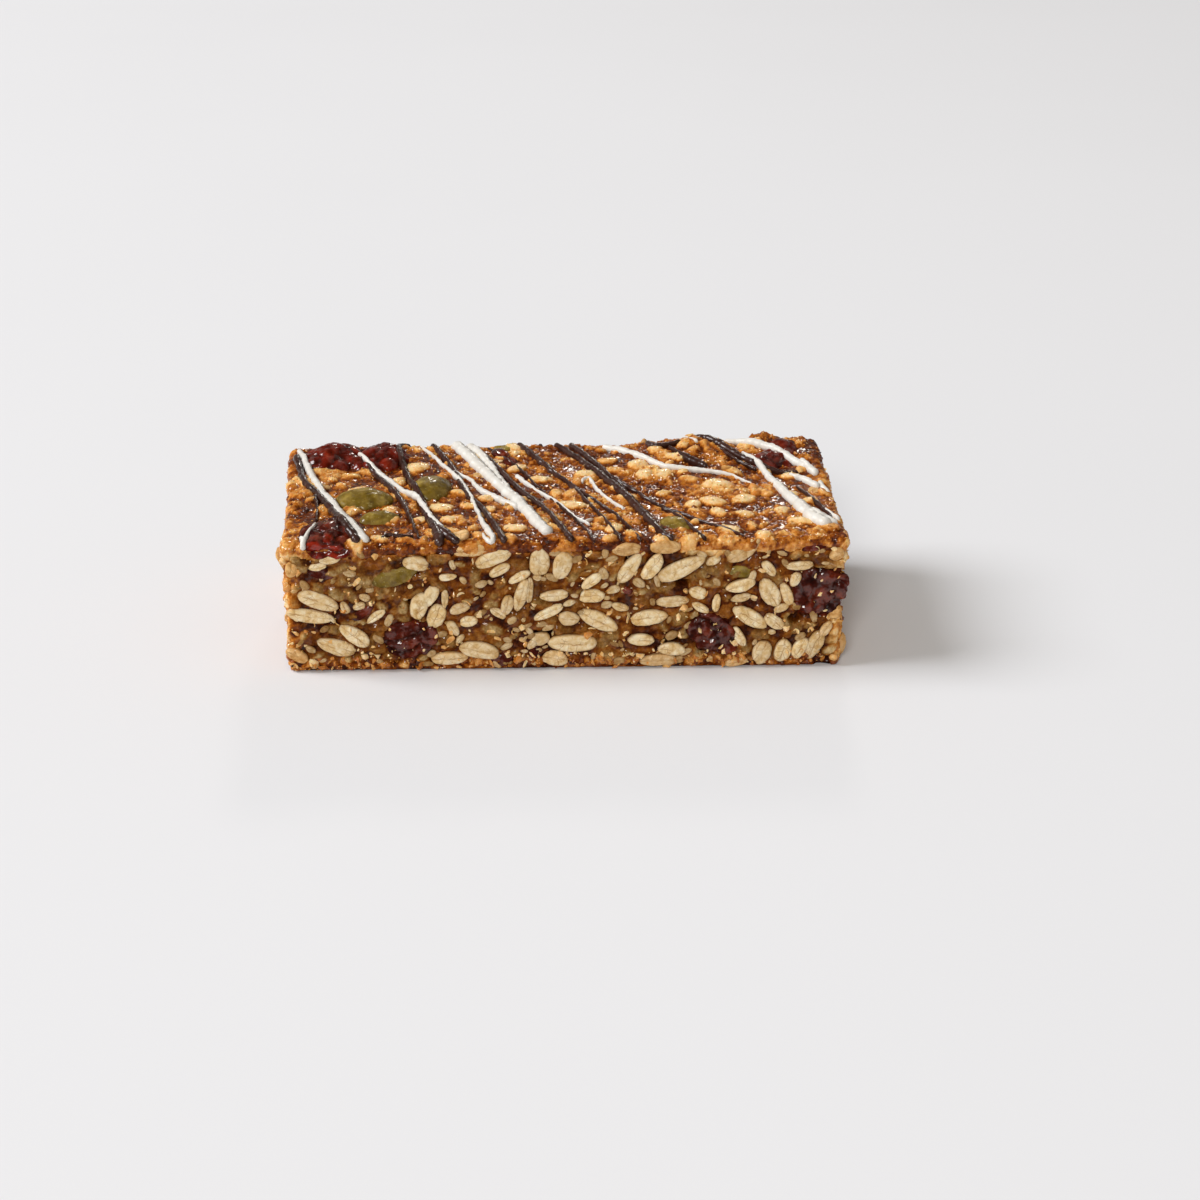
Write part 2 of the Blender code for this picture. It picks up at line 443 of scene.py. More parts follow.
def foldHeight(spot, size, seed):
    # round ridges with sharp valleys between them: 0 on a ridge, -1 in a valley
    moved = spot / size
    warp = noise.noise_vector(moved * 0.7 + Vector((seed, 1, 2))) * 0.45
    value = abs(noise.noise(moved + warp + Vector((seed, -seed, 3))))
    return min(1.0, 3.2 * value) ** 0.65 - 1


def wrinkled(mesh, shape, seed):
    folds = []
    normals = [vert.normal.copy() for vert in mesh.vertices]
    for vert, normal in zip(mesh.vertices, normals):
        spot = vert.co / mm
        wide = foldHeight(spot, shape["foldSize"], seed)
        tight = foldHeight(spot, shape["creaseSize"], seed + 5)
        move = shape["swell"] + shape["foldDepth"] * wide + shape["creaseDepth"] * tight
        vert.co = (spot + normal * move) * mm
        folds.append(max(-1.0, 0.75 * wide + 0.25 * tight))
    kept = mesh.attributes.new("fold", "FLOAT", "POINT")
    kept.data.foreach_set("value", folds)
    mesh.shade_smooth()


def berryMaterial():
    material = newMaterial("driedCranberry", {
        "Specular IOR Level": 0.03, "Subsurface Weight": 0.25, "Subsurface Scale": 1.1 * mm,
        "Subsurface Radius": (1.0, 0.08, 0.03), "Coat Roughness": 0.06,
    })
    glossSpots(material, 1.2, 0.5, 1.0)
    skin = ramp(material, noiseFine(material, 2.4, 3), [
        (0.30, (0.022, 0.004, 0.003)), (0.50, (0.070, 0.009, 0.004)), (0.72, (0.20, 0.026, 0.006))])
    # the valleys of the wrinkles darkened: painted shade
    creaseShade = rescale(material, stored(material, "fold"), -0.9, -0.2, 0.85, 0.0)
    ruby = ramp(material, noiseFine(material, 2.0, 2), [(0.35, (0.075, 0.006, 0.003)), (0.65, (0.27, 0.018, 0.005))])
    # lighter ruby red by the stored share: partly painted light on the berries on the top
    skin = blendColours(material, stored(material, "ripe"), skin, ruby)
    plug(material, "Base Color", blendColours(material, creaseShade, skin, (0.010, 0.002, 0.001)))
    plug(material, "Roughness", rescale(material, noiseFine(material, 0.9), 0.3, 0.7, 0.25, 0.45))
    bump(material, noiseFine(material, 0.5, 3), 0.08, 0.7)
    return material


def seedMaterial():
    material = newMaterial("pumpkinSeed", {
        "Specular IOR Level": 0.12, "Subsurface Weight": 0.2, "Subsurface Scale": 0.9 * mm,
        "Subsurface Radius": (0.8, 1.0, 0.2), "Coat Roughness": 0.1,
    })
    glossSpots(material, 1.2, 0.55, 0.6)
    skin = ramp(material, noiseFine(material, 2.6, 4), [
        (0.28, (0.075, 0.045, 0.003)), (0.50, (0.185, 0.115, 0.011)), (0.72, (0.36, 0.25, 0.055))])
    flecks = rescale(material, noiseFine(material, 0.55, 2), 0.60, 0.72, 0.0, 0.55)
    colour = blendColours(material, flecks, skin, (0.45, 0.37, 0.12))
    # the valleys of the wrinkles darkened: painted shade
    creaseShade = rescale(material, stored(material, "fold"), -1.0, -0.3, 0.4, 0.0)
    plug(material, "Base Color", blendColours(material, creaseShade, colour, (0.09, 0.045, 0.008)))
    plug(material, "Roughness", rescale(material, noiseFine(material, 0.9), 0.3, 0.7, 0.25, 0.5))
    bump(material, noiseFine(material, 0.6, 3), 0.06, 0.6)
    return material


def makeBerriesAndSeeds():
    berryLook, seedLook = berryMaterial(), seedMaterial()
    made = []
    for number, name in enumerate(sorted(frame["nodes"])):
        if name == "oat_block":
            continue
        isSeed = name.startswith("pumpkin")
        shape = seedShape if isSeed else berryShape
        mesh = remeshed(frame["nodes"][name], shape["voxel"])
        wrinkled(mesh, shape, 2.0 + 1.7 * number)
        along, across, up, wide, tall = fruitShift.get(name, (0, 0, 0, 1, 1))
        middle = sum(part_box(name), Vector()) / 2
        moved = Matrix.Translation(middle + Vector((along, across, up)) * mm)
        mesh.transform(moved @ Matrix.Diagonal((wide, wide, tall, 1)) @ Matrix.Translation(-middle))
        # how much of the lighter ruby red a berry takes: all of it on the cut front of the front corner berry, and part
        # of it on the berries on the top, where it is painted light falling on and through them
        base = 0.5 if "back_left" in name else 0.25 if "back_right" in name else 0.0
        ripe = [1.0 if "corner" in name and vert.normal.y < -0.6 else base for vert in mesh.vertices]
        mesh.attributes.new("ripe", "FLOAT", "POINT").data.foreach_set("value", ripe)
        mesh.materials.clear()
        mesh.materials.append(seedLook if isSeed else berryLook)
        piece = bpy.data.objects.new(name.replace("_", "") + "Look", mesh)
        bpy.context.scene.collection.objects.link(piece)
        finishPiece(piece, "pumpkin_seed" if isSeed else "cranberry", name)
        made.append(piece)
    return made


fruit = makeBerriesAndSeeds()


def searchTree(pieces):
    # their surfaces in millimetres, for looking up what is near
    points, faces = [], []
    for piece in pieces:
        faces += [[len(points) + corner for corner in face.vertices] for face in piece.data.polygons]
        points += [vert.co / mm for vert in piece.data.vertices]
    return BVHTree.FromPolygons(points, faces)


fruitTree = searchTree(fruit)
berryTree = searchTree([piece for piece in fruit if "berry" in piece.name])
seedTree = searchTree([piece for piece in fruit if "seed" in piece.name])


def standsOut(tree, spots, outs, reach=4.0):
    # how far a berry or seed stands out of the bar over each spot; -9 where there is none
    heights = np.full(len(spots), -9.0)
    for number, (spot, out) in enumerate(zip(spots.tolist(), outs.tolist())):
        start = Vector(spot) + reach * Vector(out)
        hit = tree.ray_cast(start, -Vector(out), reach + 2.0)
        if hit[0] is not None:
            heights[number] = reach - hit[3]
    return heights


def makeRoom(heights, spots, outs, level, berryCover, seedCover, gap):
    # pulls a surface in under the berries and seeds that stand out over its usual level,
    # leaving as much of their rims covered as asked
    for tree, cover in ((berryTree, berryCover), (seedTree, seedCover)):
        over = standsOut(tree, spots, outs)
        heights = np.where(over > level + cover, np.minimum(heights, over - gap), heights)
    return heights


# the bar's own box, from the CAD block

lowCorner, highCorner = (np.array(corner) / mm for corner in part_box("oat_block"))
barLength, barDepth, barHeight = highCorner - lowCorner
halfLength, halfDepth = barLength / 2, barDepth / 2
topRise = 0.8  # the top is this much higher at the +X end


def roundedBox(points, edge):
    # pulls a box's points onto its rounded upper and upright edges; gives places and outward directions
    inner = np.stack([
        np.clip(points[:, 0], -halfLength + edge, halfLength - edge),
        np.clip(points[:, 1], -halfDepth + edge, halfDepth - edge),
        np.minimum(points[:, 2], barHeight - edge),
    ], 1)
    outs = unitRows(points - inner)
    return inner + edge * outs, outs


def tilted(points):
    # leans the top so that it climbs towards +X
    rise = 1 - topRise / barHeight * (0.5 - points[:, 0] / barLength)
    return points * np.stack([np.ones(len(points)), np.ones(len(points)), rise], 1)


def bulged(points):
    # the left end leans out towards its upper back corner
    share = easeUp(-points[:, 0], 30, 50) * easeUp(points[:, 1], -16, 20) * easeUp(points[:, 2], 4, 23)
    return points - crustShape["leftBulge"] * share[:, None] * (1, 0, 0)


# baked crust: caramelised lumps with a sugary grain, used on the top and on both ends

crustShape = dict(
    cells=(340, 156, 9), edge=1.15,
    band=2.8, bandWander=1.8,  # how far the crust comes down over the sides
    lift=0.25, backLift=1.05, cornerLift=0.8, leftBulge=1.6, swellSize=15.0, swell=0.35,
    lumpSize=3.7, lump=0.7, clumpSize=1.75, clump=0.3, grainSize=0.8, grain=0.17,
    poolSize=5.0, poolShare=0.2, moreOvals=75,
    # where it rises or sinks: along, across, reach, rise
    mounds=[(27.0, 20.5, 5.0, 1.1), (34.5, 21.5, 3.4, -1.1), (39.6, 22.0, 3.0, 1.5), (10.5, 21.5, 3.5, -0.8),
            (-42.5, 11.0, 6.5, -0.8), (-33.0, 10.0, 6.5, -0.8), (40.5, 10.5, 7.0, -0.7)],
    seed=3,
)

# Oats under the syrup of the top: along, across, length, width, turn
topGrains = [
    (-22.4, -6.8, 4.8, 3.4, 8), (-21.0, -12.4, 3.2, 2.6, 0), (1.4, -6.4, 6.0, 3.4, -6), (-4.0, 5.2, 5.2, 2.6, -4),
    (4.4, 7.4, 4.4, 3.4, 15), (14.6, 11.0, 4.2, 3.8, 20), (15.6, 6.4, 4.2, 3.4, 70), (19.2, 6.4, 4.2, 3.6, 30),
    (28.8, 1.2, 5.4, 4.2, -10), (27.4, -6.0, 5.6, 3.4, -24), (33.2, -5.4, 5.2, 3.4, 20), (42.6, -15.6, 5.4, 2.6, -12),
    (23.6, -7.2, 3.6, 2.8, 30), (32.6, -12.0, 3.6, 2.4, -20), (43.0, 4.6, 3.8, 2.8, 0), (42.0, -3.2, 3.4, 2.2, -15),
    (45.4, -6.2, 3.2, 2.4, 20), (39.6, -10.4, 3.4, 2.8, 40), (29.4, -19.0, 5.2, 2.8, -30), (35.0, -21.2, 3.4, 2.8, 0),
    (-27.6, 11.6, 5.6, 3.8, 10), (-37.2, 1.6, 4.8, 3.0, 15), (-9.0, -17.0, 4.4, 2.8, 0), (8.6, -17.4, 4.2, 3.0, 60),
    (-14.0, -2.8, 3.4, 2.4, 10), (22.0, 13.6, 4.2, 2.8, -20), (10.2, 0.8, 3.4, 2.6, 50), (-6.4, -10.6, 3.6, 2.6, -40),
]


def clearOf(spot, reach, taken):
    return all(math.hypot(spot[0] - x, spot[1] - z) > reach + other for x, z, other in taken)


def ovalsOnTop():
    # the oats listed above and more of them at random in the gaps
    dice = random.Random(crustShape["seed"])
    ovals = [(*row, 1.0) for row in topGrains]
    taken = [(row[0], row[1], 0.5 * row[2]) for row in topGrains]
    tries = 6000
    while len(ovals) < len(topGrains) + crustShape["moreOvals"] and tries:
        tries -= 1
        length = dice.uniform(2.2, 4.6)
        row = (dice.uniform(-48, 48), dice.uniform(-22.4, 21.5), length, length * dice.uniform(0.55, 0.75),
               dice.uniform(-90, 90), dice.random())
        if clearOf(row, 0.42 * length, taken):
            ovals.append(row)
            taken.append((row[0], row[1], 0.42 * length))
    return ovals


def crustRelief(spots, ovals=(), axes=(0, 1)):
    # height over the plain box, tone from 0 (dark valley) to 1 (pale oat), and how wet with syrup; low places get a
    # darker tone as painted shade
    shape, seed = crustShape, crustShape["seed"]
    moved = warped(spots, 2.6, 0.9, seed)
    lump, own = pillows(moved, shape["lumpSize"], seed + 1, 0.5)
    clump, ownClump = pillows(warped(spots, 1.3, 0.45, seed + 9), shape["clumpSize"], seed + 2, 0.45)
    grain, ownGrain = pillows(spots, shape["grainSize"], seed + 4, 0.5)
    height = shape["lump"] * (lump * (0.25 + 0.75 * own) - 0.42)
    height += shape["clump"] * (clump * (0.3 + 0.7 * ownClump) - 0.45)
    height += shape["grain"] * (grain * (0.4 + 0.6 * ownGrain) - 0.4) + 0.07 * softNoise(spots, 0.55, seed + 3)
    tone = 0.365 + 0.4 * (own - 0.5) + 0.34 * (ownClump - 0.5) + 0.24 * (ownGrain - 0.5)
    # the 0.17 * height term darkens the low places: painted shade in the valleys; the noise is the crust's own uneven
    # tone
    tone += 0.17 * height + 0.38 * roughNoise(spots, 8.0, seed + 6)
    # syrup fills some of the valleys
    inner = np.minimum(halfLength - np.abs(spots[:, 0]), halfDepth - np.abs(spots[:, 1]))
    wet = easeUp(0.55 * roughNoise(spots, shape["poolSize"], seed + 10) - height + shape["poolShare"], 0.15, 0.6)
    wet = wet * easeUp(inner, 0.5, 4.0)
    height = height + 0.75 * wet * (-0.25 - height)
    tone = tone * (1 - 0.36 * wet) - 0.02 * wet
    if len(ovals):
        inside, which = ovalsAt(spots[:, axes[0]], spots[:, axes[1]], ovals)
        own = np.array([row[5] for row in ovals])[which]
        shown = easeUp(inside + 0.12 * softNoise(spots, 0.9, seed + 8), -0.05, 0.16)
        dome = 0.04 + 0.5 * np.sqrt(np.clip(inside, 0, 1)) + 0.2 * shape["lump"] * lump + 0.02 * grain
        height = height + shown * (dome - height)
        tone = tone + shown * (0.62 + 0.26 * own + 0.12 * inside + 0.08 * softNoise(spots, 1.6, seed + 7) - tone)
        wet = np.maximum(wet, 0.85 * shown)
    return height, np.clip(tone, 0.1, 1), wet


def bakedColour(material, tone):
    return ramp(material, tone, [
        (0.02, (0.042, 0.006, 0.0005)), (0.22, (0.15, 0.028, 0.001)), (0.42, (0.35, 0.10, 0.007)),
        (0.62, (0.58, 0.232, 0.043)), (0.80, (0.75, 0.415, 0.135)), (1.0, (0.84, 0.61, 0.32))])


def mottled(material, tone, amount=0.34):
    # a stored tone made uneven at the scale of sugar grains
    fine = calc(material, "ADD", rescale(material, noiseFine(material, 1.0, 4), 0.25, 0.75, -amount / 2, amount / 2),
                rescale(material, noiseFine(material, 0.35, 2), 0.3, 0.7, -amount / 5, amount / 5))
    return calc(material, "ADD", tone, fine, clamp=True)


def crustMaterial():
    material = newMaterial("bakedCrust", {
        "Specular IOR Level": 0.05, "Subsurface Weight": 0.25, "Subsurface Scale": 1.0 * mm,
        "Subsurface Radius": (1.0, 0.4, 0.1), "Coat Roughness": 0.07,
    })
    wet = stored(material, "wet")
    plug(material, "Coat Weight", calc(material, "MAXIMUM", glossSpots(material, 0.6, 0.42, 0.8),
                                       calc(material, "MULTIPLY", wet, 0.34)))
    colour = bakedColour(material, mottled(material, stored(material, "tone")))
    plug(material, "Base Color", colour)
    plug(material, "Roughness", rescale(material, noiseFine(material, 1.1), 0.3, 0.7, 0.3, 0.6))
    rough = calc(material, "ADD", noiseFine(material, 0.45, 3), calc(material, "MULTIPLY", cells(material, 0.5), 0.8))
    dry = calc(material, "SUBTRACT", 1.0, calc(material, "MULTIPLY", wet, 0.65))
    bump(material, calc(material, "MULTIPLY", rough, dry), 0.1, 0.9)
    return material


def makeCrust():
    shape = crustShape
    floorOfBand = barHeight - shape["band"]
    points, quads = latticeBox(np.array([-halfLength, -halfDepth, floorOfBand]),
                               np.array([halfLength, halfDepth, barHeight]), shape["cells"], openSide=(2, 0))
    closing = lid(points, floorOfBand, -1)
    spots, outs = roundedBox(points, shape["edge"])
    down = np.clip((barHeight - shape["edge"] - spots[:, 2]) / (shape["band"] - shape["edge"]), 0, 1)
    height, tone, wet = crustRelief(spots, ovalsOnTop())
    level = np.clip(outs[:, 2], 0, 1)
    back = easeUp(spots[:, 1], -8, 18)
    lift = shape["lift"] + back * (shape["backLift"] + shape["cornerLift"] * easeUp(spots[:, 0], 6, 32))
    for along, across, reach, rise in shape["mounds"]:
        lift = lift + rise * np.exp(-((spots[:, 0] - along) ** 2 + (spots[:, 1] - across) ** 2) / reach**2)
    lift = level * (lift + shape["swell"] * softNoise(spots, shape["swellSize"], 12))
    height = height * (0.45 + 0.55 * level) + lift
    # the crust thins out where it comes down over the sides
    height += (1 - level) * (0.3 - 1.3 * down**1.5)
    height = makeRoom(height, spots, outs, lift, -0.1, 0.05, 0.2)
    tone = tone + (1 - level) * (1 - down) * np.where(np.abs(outs[:, 1]) > 0.3, -0.04, 0.12)
    wet = np.maximum(wet, 0.7 * (1 - level) * (1 - down))
    spots[:, 2] -= shape["bandWander"] * down * (0.4 + roughNoise(spots * (1, 1, 0.3), 5.0, 15))
    final = bulged(tilted(spots + height[:, None] * outs))
    middle = np.array([[0, 0, barHeight - 4.5]])
    piece = meshPiece("topCrust", np.concatenate([final, middle]), quads.tolist() + closing, crustMaterial(),
                      dict(tone=np.append(tone, 0.3), wet=np.append(wet, 0)))
    finishPiece(piece, "baked_oats")
    return surfaceRows(piece, outs, tone)


def surfaceRows(piece, outs, tone):
    # what later pieces need to know of a surface: points, normals, outward directions and tone
    count = len(outs)
    normals = np.zeros(len(piece.data.vertices) * 3)
    piece.data.vertices.foreach_get("normal", normals)
    places = np.zeros(len(piece.data.vertices) * 3)
    piece.data.vertices.foreach_get("co", places)
    return dict(points=places.reshape(-1, 3)[:count] / mm, normals=normals.reshape(-1, 3)[:count], outs=outs, tone=tone)


crust = makeCrust()


# where the oats of the two knife cuts lie

# Oats in the front cut that read by themselves: along, height, length, width, lean
frontGrains = [
    (-44.0, 14.0, 7.6, 3.2, -22), (-45.5, 11.0, 8.6, 2.6, -9), (-41.2, 4.8, 7.2, 3.2, -18),
    (-37.8, 7.0, 6.6, 3.0, -38), (-39.3, 12.6, 2.6, 1.6, -65), (-36.8, 12.9, 2.4, 1.5, 20),
    (-26.6, 21.0, 4.6, 2.8, -8), (-21.0, 18.4, 3.2, 1.4, 5), (-26.2, 12.8, 5.4, 3.2, 76),
    (-24.2, 14.6, 4.6, 2.6, 62), (-23.2, 10.6, 5.0, 3.3, 70), (-21.6, 14.2, 3.8, 1.3, 88),
    (-19.0, 12.2, 3.8, 2.0, 22), (-17.4, 9.6, 3.2, 2.2, 8), (-20.2, 8.3, 3.4, 1.8, -58),
    (-15.6, 3.9, 7.4, 3.3, -12), (-21.0, 2.3, 6.8, 2.6, 3), (-13.0, 21.9, 6.8, 3.0, 24),
    (-11.8, 19.6, 4.2, 1.9, 30), (-16.8, 23.4, 6.8, 2.4, 4), (-4.8, 21.2, 5.4, 3.7, 88),
    (-0.8, 20.4, 5.4, 3.4, 74), (-8.4, 18.2, 4.4, 1.7, 30), (-8.0, 14.8, 6.6, 2.4, 72),
    (-10.6, 12.8, 3.9, 2.2, 76), (-6.6, 15.6, 5.0, 1.4, 86), (-2.2, 14.6, 5.2, 2.2, 6),
    (-3.2, 11.2, 5.8, 2.0, 27), (4.4, 17.4, 4.4, 2.0, 38), (4.4, 14.4, 5.0, 2.6, 2),
    (0.5, 10.0, 3.9, 2.8, -6), (5.8, 9.5, 8.0, 3.3, -29), (1.2, 5.1, 9.0, 3.5, -2),
    (-4.6, 6.0, 3.4, 2.6, 15), (-2.0, 2.0, 4.8, 3.0, -10), (-12.2, 11.2, 3.4, 1.6, -35),
    (11.2, 19.7, 6.9, 2.7, 55), (15.2, 20.0, 5.6, 2.8, 56), (20.4, 19.6, 9.4, 3.2, 27),
    (18.9, 13.1, 6.0, 2.2, 4), (23.4, 14.8, 3.3, 2.4, -20), (26.8, 12.8, 3.6, 1.5, 84),
    (14.8, 10.0, 6.8, 3.0, 7), (13.4, 5.6, 5.0, 2.4, -3), (19.0, 3.7, 5.2, 2.6, -4),
    (16.6, 1.5, 6.8, 2.4, 2), (9.6, 12.2, 3.2, 1.6, -16), (24.0, 11.9, 3.6, 1.6, -30),
    (31.4, 22.8, 7.0, 3.0, 33), (31.0, 16.2, 5.6, 2.4, 16), (36.4, 14.6, 6.0, 3.5, -62),
    (33.0, 9.8, 7.2, 3.1, -32), (37.4, 8.9, 4.2, 2.5, -36), (31.2, 6.0, 4.4, 1.9, -60),
    (35.4, 2.8, 4.8, 3.5, 76), (39.2, 3.1, 4.6, 3.4, 78), (42.3, 3.6, 4.4, 2.6, 62),
    (45.0, 4.2, 6.2, 3.0, 66), (31.2, 13.7, 3.8, 1.6, 14), (39.4, 14.4, 4.8, 2.0, -68),
    (40.8, 17.2, 3.0, 2.0, 70), (36.0, 19.4, 3.6, 1.8, -50), (48.4, 10.6, 3.0, 2.2, 50),
    (41.4, 19.9, 5.2, 1.8, 4), (48.0, 22.0, 3.0, 2.6, 40), (30.8, 0.9, 4.4, 1.6, 8),
    (-41.6, 22.0, 4.0, 1.8, 8), (-33.9, 10.8, 4.2, 1.6, 38), (46.8, 7.4, 3.4, 1.8, 60), (10.6, 23.4, 5.4, 2.4, 5),
    (17.4, 23.8, 5.6, 2.6, 2), (26.0, 21.0, 3.0, 1.8, 30), (-48.4, 20.0, 3.2, 2.2, 80),
    (-48.2, 3.2, 4.4, 2.4, -30), (-43.8, 20.6, 3.2, 1.6, 10), (38.6, 11.6, 3.0, 1.6, 25),
]

cutPlan = dict(
    backCount=78, backLength=(3.2, 8.2), smallCount=120, smallLength=(0.9, 2.6),
    soakedCount=150, soakedLength=(2.0, 5.2), seed=11,
)


def sideTaken(side):
    # where berries and seeds show in that cut side: along, height, reach
    taken = []
    for name in frame["nodes"]:
        low, high = (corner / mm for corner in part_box(name))
        if name != "oat_block" and max(side * low.y, side * high.y) > halfDepth - 1 and low.z < barHeight - 8:
            taken.append(((low.x + high.x) / 2, (low.z + high.z) / 2, 0.4 * max(high.x - low.x, high.z - low.z)))
    return taken


def planCut(side):
    plan = cutPlan
    dice = random.Random(plan["seed"] + side)
    taken = sideTaken(side)

    def scatter(count, lengths, ratios, share, tries=9000):
        rows = []
        while len(rows) < count and tries:
            tries -= 1
            length = dice.uniform(*lengths)
            row = (dice.uniform(-48.5, 48.5), dice.uniform(1.0, barHeight - 2.0), length,
                   length * dice.uniform(*ratios), dice.gauss(5, 45), dice.random())
            if clearOf(row, share * length, taken):
                rows.append(row)
                taken.append((row[0], row[1], share * length))
        return rows

    if side < 0:
        clear = [(*row, dice.random()) for row in frontGrains]
        taken += [(row[0], row[1], 0.34 * row[2]) for row in clear]
    else:
        clear = scatter(plan["backCount"], plan["backLength"], (0.36, 0.52), 0.33)
    small = scatter(plan["smallCount"], plan["smallLength"], (0.42, 0.75), 0.3)
    taken[:] = [(x, z, 0.8 * reach) for x, z, reach in taken]
    soaked = scatter(plan["soakedCount"], plan["soakedLength"], (0.45, 0.7), 0.3)
    return dict(clear=clear, small=small, soaked=soaked)


cutSides = {side: planCut(side) for side in (-1, 1)}


# the baked body: a matrix of soaked oats and syrup

coreShape = dict(
    cells=(260, 116, 70), edge=1.6, footInset=0.5, lidDrop=1.9,
    soakedRise=0.36, moat=0.45, soakSize=3.2, soakRise=0.38, bitSize=1.3, bitRise=0.18, fineRise=0.09,
    hollowSize=(5.0, 6.0, 3.2), hollowShare=0.13, hollowDepth=2.0,
    seed=70,
)


def hollowDepth(spots):
    # small hollows that crumbs fell out of; their tone is darkened later as painted shade
    seed = coreShape["seed"]
    moved = warped(spots, 1.5, 0.7, seed + 1) / np.array(coreShape["hollowSize"])
    base = np.floor(moved)
    depth = np.zeros(len(spots))
    for step in itertools.product((-1, 0, 1), repeat=3):
        cellAt = base + step
        centre = cellAt + np.stack([hashed(cellAt, seed, axis) for axis in range(3)], 1)
        wanted = np.where(hashed(cellAt, seed, 3) < coreShape["hollowShare"], 0.2 + 0.22 * hashed(cellAt, seed, 4), 0)
        away = np.linalg.norm(centre - moved, axis=1)
        depth = np.maximum(depth, easeUp(wanted - away, 0.0, 0.14))
    return depth


def cutRelief(spots, side):
    # height over the knife's plane, tone from 0 dark to 1 pale, and how grey and glassy it is
    shape, seed = coreShape, coreShape["seed"]
    moved = warped(spots, 2.4, 0.8, seed) * (0.85, 1, 1.35)
    wide, own = pillows(moved, shape["soakSize"], seed + 2, 0.45)
    bit, ownBit = pillows(warped(spots, 1.0, 0.35, seed + 8), shape["bitSize"], seed + 3, 0.5)
    height = shape["soakRise"] * (wide * (0.3 + 0.7 * own) - 0.45) + shape["bitRise"] * (bit * ownBit - 0.3)
    height += shape["fineRise"] * softNoise(spots, 0.7, seed + 4)
    # the 0.22 * height term darkens the low places of the cut: painted shade; the rest is the matrix's own uneven tone
    tone = 0.38 + 0.5 * (own - 0.5) + 0.26 * (ownBit - 0.5) + 0.22 * height + 0.22 * roughNoise(spots, 8.0, seed + 5)
    glass = easeUp(roughNoise(spots, 6.0, seed + 6), -0.1, 0.5)
    plan = cutSides[side]
    inside, which = ovalsAt(spots[:, 0], spots[:, 2], plan["soaked"])
    dice = np.array([row[5] for row in plan["soaked"]])[which]
    shown = easeUp(inside, 0.0, 0.22)
    height = height + shown * (0.1 + shape["soakedRise"] * np.sqrt(np.clip(inside, 0, 1)) + 0.3 * height - height)
    tone = tone + shown * (0.42 + 0.42 * dice + 0.15 * inside - tone)
    glass = glass + shown * (easeUp(dice, 0.0, 0.5) - glass)
    # nothing pokes through the oats laid on later
    under, _ = ovalsAt(spots[:, 0], spots[:, 2], plan["clear"] + plan["small"])
    height = np.where(under > -0.1, np.minimum(height, -0.12), height)
    around, _ = ovalsAt(spots[:, 0], spots[:, 2], plan["clear"])
    moat = np.exp(-(((around + 0.06) / 0.13) ** 2)) * (0.65 + 0.5 * softNoise(spots, 2.0, seed + 7))
    height -= shape["moat"] * moat
    # painted shade: the tone is darkened in the groove round each clear oat
    tone -= 0.24 * moat
    hollow = hollowDepth(spots)
    height -= shape["hollowDepth"] * hollow
    # painted shade in the hollows
    tone = tone * (1 - 0.85 * hollow)
    return height, np.clip(tone, 0, 1), glass


def matrixMaterial():
    material = newMaterial("soakedOats", {
        "Specular IOR Level": 0.05, "Subsurface Weight": 0.1, "Subsurface Scale": 0.8 * mm,
        "Subsurface Radius": (1.0, 0.45, 0.12), "Coat Roughness": 0.07,
    })
    glossSpots(material, 0.9, 0.35, 0.5)
    tone = mottled(material, stored(material, "tone"), 0.36)
    # tiny pores drawn as dark dots with a dip in the bump: the dark is painted shade
    poreShade = rescale(material, cells(material, 1.5), 0.08, 0.17, 1.0, 0.0)
    poreShade = calc(material, "MULTIPLY", poreShade, rescale(material, noiseFine(material, 5.0, 1), 0.45, 0.6, 0.0, 0.8))
    soaked = ramp(material, tone, [
        (0.02, (0.024, 0.003, 0.0003)), (0.20, (0.068, 0.012, 0.001)), (0.40, (0.137, 0.033, 0.002)),
        (0.60, (0.215, 0.066, 0.006)), (0.80, (0.33, 0.136, 0.025)), (1.0, (0.54, 0.32, 0.11))])
    glassy = ramp(material, tone, [
        (0.02, (0.024, 0.004, 0.0003)), (0.30, (0.084, 0.023, 0.002)), (0.55, (0.150, 0.059, 0.009)),
        (0.80, (0.25, 0.134, 0.037)), (1.0, (0.43, 0.295, 0.13))])
    colour = blendColours(material, stored(material, "glass"), soaked, glassy)
    speck = rescale(material, noiseFine(material, 0.8, 3), 0.3, 0.7, -0.3, 0.3)
    baked = calc(material, "ADD", stored(material, "baked"), speck, clamp=True)
    colour = blendColours(material, baked, colour, bakedColour(material, tone))
    plug(material, "Base Color", blendColours(material, poreShade, colour, (0.035, 0.010, 0.002)))
    plug(material, "Roughness", rescale(material, noiseFine(material, 1.1), 0.3, 0.7, 0.28, 0.6))
    rough = calc(material, "ADD", noiseFine(material, 0.7, 4, 0.6), calc(material, "MULTIPLY", cells(material, 0.6), 0.5))
    bump(material, calc(material, "SUBTRACT", rough, poreShade), 0.2, 0.9)
    return material


